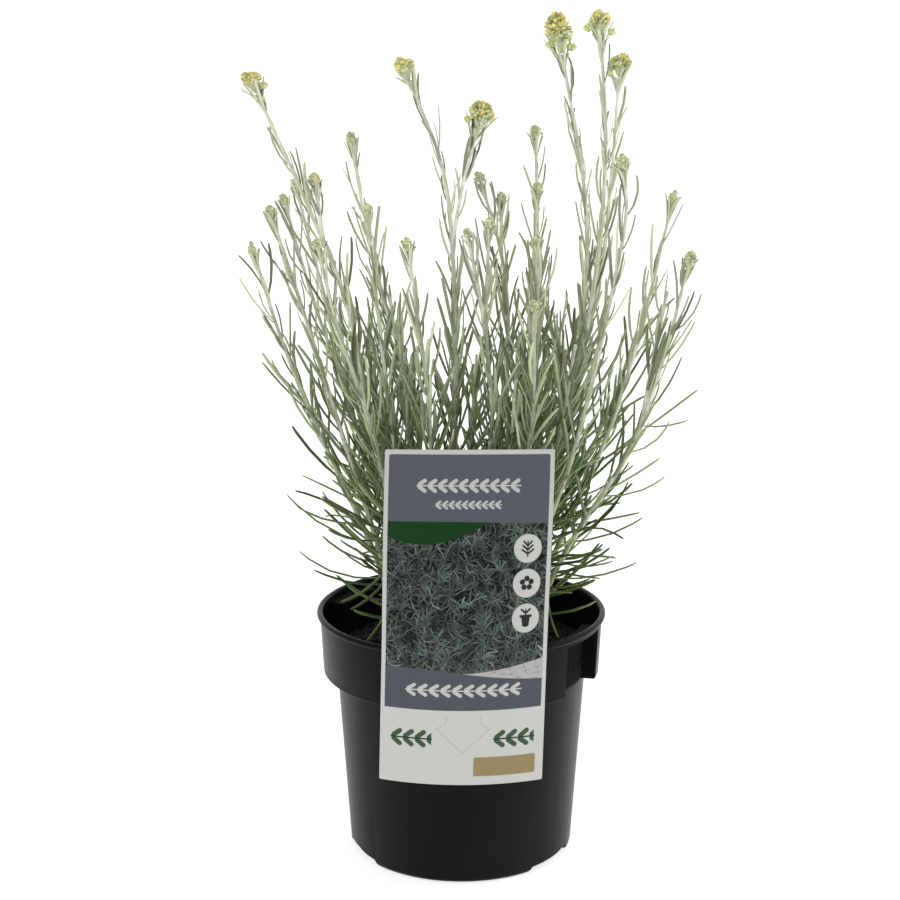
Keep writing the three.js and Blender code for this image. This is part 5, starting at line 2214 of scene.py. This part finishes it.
class LeafStamp(Stamp):
    """A linear leaf with rolled edges and a sunken midrib, pressed along a leaf's line."""

    ROWS = 6
    SECTION = ((1.0, 0.0), (0.68, 0.5), (0.0, 0.28), (-0.68, 0.5), (-1.0, 0.0), (-0.6, -0.5),
               (0.0, -0.64), (0.6, -0.5))
    SHARES = (0.0, 0.08, 0.3, 0.6, 0.86, 0.97, 1.0)
    TAPER = (0.6, 0.85, 1.0, 1.02, 0.96, 0.72, 0.3)

    def __init__(self) -> None:
        """Makes the leaf's mesh and reads each point's row and place in the section."""
        super().__init__("leaf", tube_mesh(len(self.SECTION), self.ROWS))
        rows = np.round(self.points[:, 2] * self.ROWS).astype(int)
        turns = np.arctan2(self.points[:, 1], self.points[:, 0]) * len(self.SECTION) / (2.0 * math.pi)
        first = np.round(turns - turns.min()).astype(int) % len(self.SECTION)
        section = np.array(self.SECTION)[first]
        self.shares = np.array(self.SHARES)[rows]
        self.half = np.array(self.TAPER)[rows]
        self.wide, self.thick = section[:, 0], section[:, 1]

    def grow(self, bm: Mesh, leaf: Leaf, top: float) -> None:
        """Presses one leaf.

        Args:
            bm: The stem's mesh.
            leaf: The leaf.
            top: The height that counts as the plant's top.
        """
        u = self.shares[:, None]
        line = (1 - u) * (1 - 2 * u) * leaf.root + 4 * u * (1 - u) * leaf.middle + u * (2 * u - 1) * leaf.tip
        ahead = unit((4 * u - 3) * leaf.root + (4 - 8 * u) * leaf.middle + (4 * u - 1) * leaf.tip)
        blade = unit(leaf.blade - ahead * (ahead @ leaf.blade)[:, None])
        face = np.cross(ahead, blade)
        turn = leaf.roll + leaf.twist * u
        across = blade * np.cos(turn) + face * np.sin(turn)
        over = face * np.cos(turn) - blade * np.sin(turn)
        line = line + (blade * leaf.bow + face * leaf.arch) * (4.0 * u * (1.0 - u))
        half = (leaf.width / 2.0 * self.half)[:, None]
        points = line + across * (self.wide[:, None] * half) + over * (self.thick[:, None] * half)
        upper = np.where(self.thick > 0.05, 0.5, 0.0)
        self.press(bm, points, (rise_of(line, top), leaf.tone, self.shares, upper))


@dataclass(frozen=True)
class LeafyStem:
    """One stem with its branch, its leaves and the bracts below its heads."""

    growth: Growth
    stem: Stem
    stamp: LeafStamp
    sides: int = 10
    ring_step: float = 4.0
    flare_length: float = 7.0
    flare_share: float = 0.1
    ripple: Point2 = (0.06, 0.9)
    tone: Point2 = (0.35, 0.75)
    bracts: int = 8
    bract_below: Point2 = (3.0, 9.5)
    bract_height: Point2 = (0.25, 0.75)
    bract_flare: Point2 = (0.8, 1.1)
    bract_width: Point2 = (0.9, 1.3)

    def tube(self, bm: Mesh, axis: Axis) -> None:
        """Adds the stem itself, which widens into its head.

        Args:
            bm: The stem's mesh.
            axis: The stem or branch.
        """
        rows = max(4, round(axis.route.length / self.ring_step))
        stamp = Stamp("tube", tube_mesh(self.sides, rows))
        shares = stamp.points[:, 2]
        turns = np.arctan2(stamp.points[:, 1], stamp.points[:, 0])[:, None]
        _, side, front = axis.route.frames(shares)
        radii = axis.radius_at(shares)
        if axis.head is not None:
            flare = np.clip((shares - 1.0) * axis.route.length / self.flare_length + 1.0, 0.0, 1.0) ** 2
            radii = radii + flare * axis.head.width * self.flare_share
        swing, pitch = self.ripple
        ripple = 1.0 + swing * np.sin(shares * axis.route.length * pitch + axis.order)
        out = side * np.cos(turns) + front * np.sin(turns)
        points = axis.route.place(shares) + out * (radii * ripple)[:, None]
        tone = lerp(*self.tone, scatter(axis.order, 7, 7))
        stamp.press(bm, points, (rise_of(points, self.growth.sizes.plant_top), tone, 1.0, 1.0))
        stamp.drop()

    def collar(self, bm: Mesh, axis: Axis) -> None:
        """Adds the small upright bracts that hold a head.

        Args:
            bm: The stem's mesh.
            axis: The stem or branch.
        """
        head = axis.head
        for k in range(self.bracts):
            d = scatters(axis.order + Draw.BRACTS, k, 5)
            below = lerp(*self.bract_below, d[0])
            share = 1.0 - below / axis.route.length
            along, side, front = (v[0] for v in axis.route.frames(share))
            turn = k * GOLDEN_ANGLE + d[1]
            out = side * math.cos(turn) + front * math.sin(turn)
            root = axis.route.place(share)[0] + out * 0.4
            reach = below + head.height * lerp(*self.bract_height, d[2])
            flare = head.width / 2.0 * lerp(*self.bract_flare, d[3])
            middle = root + along * reach * 0.55 + out * flare * 0.52
            tip = root + along * reach + out * (flare + 1.6 * d[4] ** 2)
            leaf = Leaf(root, middle, tip, unit(middle - root), np.cross(along, out),
                        lerp(*self.bract_width, d[4]), tone=0.5 + 0.4 * d[3])
            self.stamp.grow(bm, leaf, self.growth.sizes.plant_top)

    def build(self, material: Material) -> Piece:
        """Makes the leafy stem.

        Args:
            material: Its foliage.

        Returns:
            The piece.
        """
        bm = bmesh.new()
        growth_layer(bm)
        for axis in (a for a in self.growth.axes if a.stem == self.stem.name):
            self.tube(bm, axis)
            if axis.head is not None:
                self.collar(bm, axis)
        for leaf in self.growth.leaves[self.stem.name]:
            self.stamp.grow(bm, leaf, self.growth.sizes.plant_top)
        piece = finish_mesh(f"leafy_{self.stem.name}", bm)
        dress(piece, material, "foliage", f"stem_{self.stem.name}")
        return piece


@dataclass(frozen=True)
class FloretHabit:
    """How the florets of a kind of head look: sizes in millimetres.

    The florets stand in clusters, each on a stalk of its own.
    """

    radius: float
    length: float
    clusters: int
    florets: int
    cluster_spread: float
    cover_degrees: float
    ripe: Point2
    clumping: float


HABITS: dict[HeadKind, FloretHabit] = {
    HeadKind.OPEN: FloretHabit(0.86, 3.7, 9, 8, 18.5, 108.0, (0.1, 1.0), 0.42),
    HeadKind.YELLOWING: FloretHabit(0.8, 2.8, 7, 6, 22.0, 120.0, (0.1, 0.8), 0.25),
    HeadKind.BUD: FloretHabit(0.74, 2.5, 8, 5, 25.0, 134.0, (0.0, 0.5), 0.16),
    HeadKind.SLIM: FloretHabit(0.7, 3.0, 5, 3, 24.0, 125.0, (0.0, 0.3), 0.1),
}


def turned_to(way: Array) -> Array:
    """Gives the matrix that turns +Z to a direction."""
    return np.array(Vector((0.0, 0.0, 1.0)).rotation_difference(Vector(way)).to_matrix())


def spiral(count: int, cover_degrees: float, phase: float) -> list[Array]:
    """Spreads directions evenly over a cap round +Z.

    Args:
        count: How many.
        cover_degrees: How far the cap reaches from +Z.
        phase: Where the spiral starts, in radians.

    Returns:
        The directions.
    """
    low = math.cos(math.radians(cover_degrees))
    ways = []
    for k in range(count):
        rise = lerp(1.0, low, (k + 0.5) / count)
        flat = math.sqrt(max(0.0, 1.0 - rise * rise))
        spin = k * GOLDEN_ANGLE + phase
        ways.append(np.array([flat * math.cos(spin), flat * math.sin(spin), rise]))
    return ways


@dataclass(frozen=True)
class FloretHead:
    """One head: clusters of florets on short stalks round a woolly heart."""

    axis: Axis
    floret: Stamp
    stalk: Stamp
    fullness: float = 1.06
    keenness: Point2 = (0.62, 1.0)
    keen_heights: Point2 = (8.0, 16.0)
    cluster_area: float = 33.0
    seat_share: float = 0.45
    spreading: float = 1.35
    backing: float = 0.28
    longest: float = 0.62
    stalk_radii: Point2 = (0.45, 0.28)
    side_florets: int = 11
    side_cover: float = 66.0
    side_seat: float = 0.72
    side_stalk: float = 0.42

    def place(self, points: Array) -> Array:
        """Puts points of the head on the stem's tip."""
        route = self.axis.route
        return points @ turned_to(route.heading(1.0)[0]).T + route.place(1.0)[0]

    def heart(self, bm: Mesh) -> None:
        """Adds the woolly heart that the florets stand on.

        Args:
            bm: The head's mesh.
        """
        head = self.axis.head
        wide = 0.24 if head.kind is HeadKind.OPEN else 0.38
        size = np.array([head.width * wide, head.width * wide, head.height * 0.38])
        points = self.floret.points * size + np.array([0.0, 0.0, head.height * 0.4])
        self.floret.press(bm, self.place(points), (0.0, 0.7, 0.32, 1.0))

    def stem(self, bm: Mesh, start: Array, end: Array, radius: float) -> None:
        """Adds a stalk.

        Args:
            bm: The head's mesh.
            start: Its foot.
            end: Its top.
            radius: Its radius.
        """
        way = end - start
        share = self.stalk.points[:, 2:3]
        ring = (self.stalk.points * np.array([radius, radius, 0.0])) @ turned_to(way).T
        points = start * (1.0 - share) + end * share + ring
        self.stalk.press(bm, self.place(points), (0.0, 0.7, 0.35, 1.0))

    def bloom(self, bm: Mesh, tip: Array, foot: Array, radius: float, ripe: float,
              tone: float) -> None:
        """Adds a floret.

        Args:
            bm: The head's mesh.
            tip: Its tip.
            foot: Its foot.
            radius: Its radius.
            ripe: How yellow its tip is.
            tone: How light it is.
        """
        way = tip - foot
        long = float(np.linalg.norm(way))
        points = (self.floret.points * np.array([radius, radius, long / 2.0])) @ turned_to(way).T
        share = (self.floret.points[:, 2] + 1.0) / 2.0
        self.floret.press(bm, self.place(points + (tip + foot) / 2.0), (ripe, tone, share, 1.0))

    def side_cluster(self, bm: Mesh, n: int, side: Point3) -> None:
        """Adds a small cluster beside the head, on a stalk from the stem.

        Args:
            bm: The head's mesh.
            n: The cluster's number.
            side: Its middle across and up from the stem's tip, and its size.
        """
        habit = HABITS[self.axis.head.kind]
        x, z, size = side
        root, top = np.array([0.0, 0.0, -5.0]), np.array([x, -0.5, z])
        seat = lerp(root, top, self.side_seat)
        self.stem(bm, root, seat, self.side_stalk)
        way = top - seat + np.array([0.0, 0.0, 1.0])
        frame_turn = turned_to(way)
        for k, local in enumerate(spiral(self.side_florets, self.side_cover, n)):
            d = scatters(self.axis.order + Draw.SIDES + n, k, 3)
            tip = top + (frame_turn @ local) * size * (0.46 + 0.1 * d[0])
            foot = lerp(seat, tip, 0.3)
            self.bloom(bm, tip, foot, habit.radius * (0.7 + 0.25 * d[1]), 0.35 + 0.3 * d[2], 0.4 + 0.4 * d[0])

    def build(self, material: Material, slot: str) -> Piece:
        """Makes the head.

        Args:
            material: Its florets' material.
            slot: The record's material slot.

        Returns:
            The piece.
        """
        order, head = self.axis.order, self.axis.head
        habit = HABITS[head.kind]
        half = np.array([head.width, head.width, head.height]) * self.fullness / 2.0
        centre = np.array([0.0, 0.0, half[2]])
        source = np.array([0.0, 0.0, head.height * 0.1])
        keen = lerp(*self.keenness, smoothstep(head.height, *self.keen_heights))
        bm = bmesh.new()
        growth_layer(bm)
        self.heart(bm)
        is_open = head.kind is HeadKind.OPEN
        count = habit.clusters
        if is_open:
            count = max(count, round(count * half[0] * half[2] / self.cluster_area))
        for c, way in enumerate(spiral(count, habit.cover_degrees, order)):
            swell = 1.0 + habit.clumping * (scatter(order + Draw.CLUSTERS, c, 0) - 0.65)
            seat = centre + half * way * self.seat_share
            if is_open:
                self.stem(bm, source, seat, self.stalk_radii[0])
            frame_turn = turned_to(way)
            for k, local in enumerate(spiral(habit.florets, habit.cluster_spread * self.spreading, order + c)):
                d = scatters(order + Draw.FLORETS, c * 20 + k, 5)
                aim = frame_turn @ local
                dome = 1.0 - (0.2 + 2.0 * habit.clumping) * (1.0 - local[2])
                tip = centre + half * aim * swell * dome * (0.95 + 0.07 * d[0])
                back = unit(lerp(aim, way, self.backing))
                room = self.longest * float(np.linalg.norm(tip - source))
                long = min(habit.length * (0.85 + 0.3 * d[1]), room)
                foot = tip - back * long
                ripe = lerp(*habit.ripe, smoothstep(way[2] + 0.5 * (d[2] - 0.5), -0.4, 0.75))
                ripe *= keen * lerp(0.7, 1.0, d[0])
                self.bloom(bm, tip, foot, habit.radius * (0.82 + 0.36 * d[3]), ripe, d[4])
                if is_open:
                    self.stem(bm, seat, lerp(foot, tip, 0.15), self.stalk_radii[1])
        for n, side in enumerate(head.sides):
            self.side_cluster(bm, n, side)
        piece = finish_mesh(f"florets_{self.axis.name}", bm)
        dress(piece, material, slot, f"head_{self.axis.name}")
        return piece


def floret_stamp() -> Stamp:
    """Makes a floret: a small egg, drawn in at its foot, with a blunt tip.

    Returns:
        The stamp, from z = -1 to z = 1.
    """
    bm = bmesh.new()
    bmesh.ops.create_uvsphere(bm, u_segments=8, v_segments=6, radius=1.0)
    for vert in bm.verts:
        vert.co.xy *= lerp(0.62, 1.0, smoothstep(vert.co.z, -1.0, 0.35))
        vert.co.z = math.copysign(abs(vert.co.z) ** 0.85, vert.co.z)
    return Stamp("floret", bm)


@dataclass(frozen=True)
class CurryPlant:
    """The plant: leafy stems and the heads at their tips."""

    growth: Growth

    def build(self, effects: Effects) -> None:
        """Makes every stem and head.

        Args:
            effects: The shared effects.
        """
        foliage = FoliageFinish().build(effects)
        # The third colour of each head finish is painted shade at the florets' feet.
        green, open_gap_shade, pale, gap_shade = tint("d3dbb2"), tint("5f6136"), tint("d9e0b4"), tint("99a46e")
        finishes = {
            HeadKind.OPEN: ("open_heads", HeadFinish("open_florets", green, tint("f4e26c"), open_gap_shade, 0.62)),
            HeadKind.YELLOWING: ("yellowing_heads",
                                 HeadFinish("yellowing_florets", green, tint("ece088"), gap_shade, 0.64)),
            HeadKind.BUD: ("buds", HeadFinish("bud_florets", pale, tint("e6e8a8"), gap_shade, 0.64)),
            HeadKind.SLIM: ("buds", HeadFinish("slim_florets", pale, tint("e0e4ae"), gap_shade, 0.64)),
        }
        materials = {kind: (slot, finish.build(effects)) for kind, (slot, finish) in finishes.items()}
        leaf = LeafStamp()
        for stem in STEMS:
            LeafyStem(self.growth, stem, leaf).build(foliage)
        leaf.drop()
        floret, stalk = floret_stamp(), Stamp("stalk", tube_mesh(5, 1))
        for axis in (a for a in self.growth.axes if a.head is not None):
            slot, material = materials[axis.head.kind]
            FloretHead(axis, floret, stalk).build(material, slot)
        floret.drop()
        stalk.drop()


# The studio


@dataclass(frozen=True)
class Studio:
    """A plain pale sweep, soft light and the camera."""

    camera_place: Point3 = (-5.4, -930.0, 417.0)
    camera_down_degrees: float = 13.23
    focal_length: float = 80.0
    sensor: float = 36.0
    floor_size: float = 3.0
    wall_from: float = 1.6
    wall_height: float = 2.6
    bend: float = 0.8
    world: float = 0.5
    glow: float = 0.66
    white: Colour = (1.0, 1.0, 1.0, 1.0)
    paper: tuple[Colour, Colour] = ((0.8, 0.8, 0.8, 1.0), (0.82, 0.82, 0.82, 1.0))
    lamps: tuple[tuple[str, Point3], ...] = (("key", (-0.9, -1.2, 1.5)), ("side", (1.3, 0.1, 0.8)))
    lamp_size: float = 0.8
    lamp_power: float = 5.0
    lamp_aim: Point3 = (0.0, 0.0, 0.2)

    def camera(self) -> None:
        """Sets up the camera."""
        data = bpy.data.cameras.new("camera")
        data.lens = self.focal_length
        data.sensor_width = self.sensor
        data.clip_start = 0.01
        camera = bpy.data.objects.new("camera", data)
        camera.location = Vector(self.camera_place) * MM
        camera.rotation_euler = (math.radians(90.0 - self.camera_down_degrees), 0.0, 0.0)
        bpy.context.scene.collection.objects.link(camera)
        bpy.context.scene.camera = camera

    def light(self, name: str, place: Point3) -> None:
        """Adds a soft square light.

        Args:
            name: Its name.
            place: Where it hangs, in metres.
        """
        data = bpy.data.lights.new(name, "AREA")
        data.size = self.lamp_size
        data.energy = self.lamp_power
        light = bpy.data.objects.new(name, data)
        light.location = place
        way = Vector(self.lamp_aim) - Vector(place)
        light.rotation_euler = way.to_track_quat("-Z", "Y").to_euler()
        bpy.context.scene.collection.objects.link(light)

    def sweep(self) -> None:
        """Makes the floor that rises into a wall behind the plant."""
        bm = bmesh.new()
        profile = [(-self.floor_size, 0.0), (self.wall_from, 0.0)]
        profile += [(self.wall_from + self.bend * math.sin(a), self.bend * (1.0 - math.cos(a)))
                    for a in np.linspace(0.2, math.pi / 2.0, 10)]
        profile.append((self.wall_from + self.bend, self.wall_height))
        verts = [bm.verts.new((-self.floor_size, y, z)) for y, z in profile]
        edges = [bm.edges.new(pair) for pair in zip(verts, verts[1:])]
        grown = bmesh.ops.extrude_edge_only(bm, edges=edges)
        moved = [v for v in grown["geom"] if isinstance(v, bmesh.types.BMVert)]
        bmesh.ops.translate(bm, verts=moved, vec=(2.0 * self.floor_size, 0.0, 0.0))
        bmesh.ops.recalc_face_normals(bm, faces=bm.faces)
        floor = finish_mesh("studio_sweep", bm)
        material, nodes, shader = new_material("studio_white")
        shade = nodes.noise(nodes.place(), 3.0)
        nodes.put(shader, Base_Color=nodes.mix(shade, *self.paper), Roughness=0.9, Specular_IOR_Level=0.0,
                  Emission_Color=self.white, Emission_Strength=self.glow)
        floor.data.materials.append(material)
        floor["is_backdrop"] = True

    def build(self) -> None:
        """Makes the studio."""
        self.camera()
        self.sweep()
        world = bpy.data.worlds.new("studio")
        world.use_nodes = True
        background = next(n for n in world.node_tree.nodes if n.type == "BACKGROUND")
        background.inputs["Color"].default_value = self.white
        background.inputs["Strength"].default_value = self.world
        bpy.context.scene.world = world
        bpy.context.scene.view_settings.view_transform = "Standard"
        for name, place in self.lamps:
            self.light(name, place)
        log.info("studio ready")


def main() -> None:
    """Builds the studio and every piece."""
    logging.basicConfig(level=logging.INFO, format="%(message)s")
    solid_box = [list(corner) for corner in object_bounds()]
    Studio().build()
    effects = Effects()
    NurseryPot().build(PlasticFinish().build(effects))
    PottingMix().build(MixFinish().build(effects))
    PlantLabel().build(LabelFinish().build(effects))
    CurryPlant(Growth(GrowthSizes(), PotSizes(), LabelSizes(), solid_box)).build(effects)


if __name__ == "__main__":
    main()
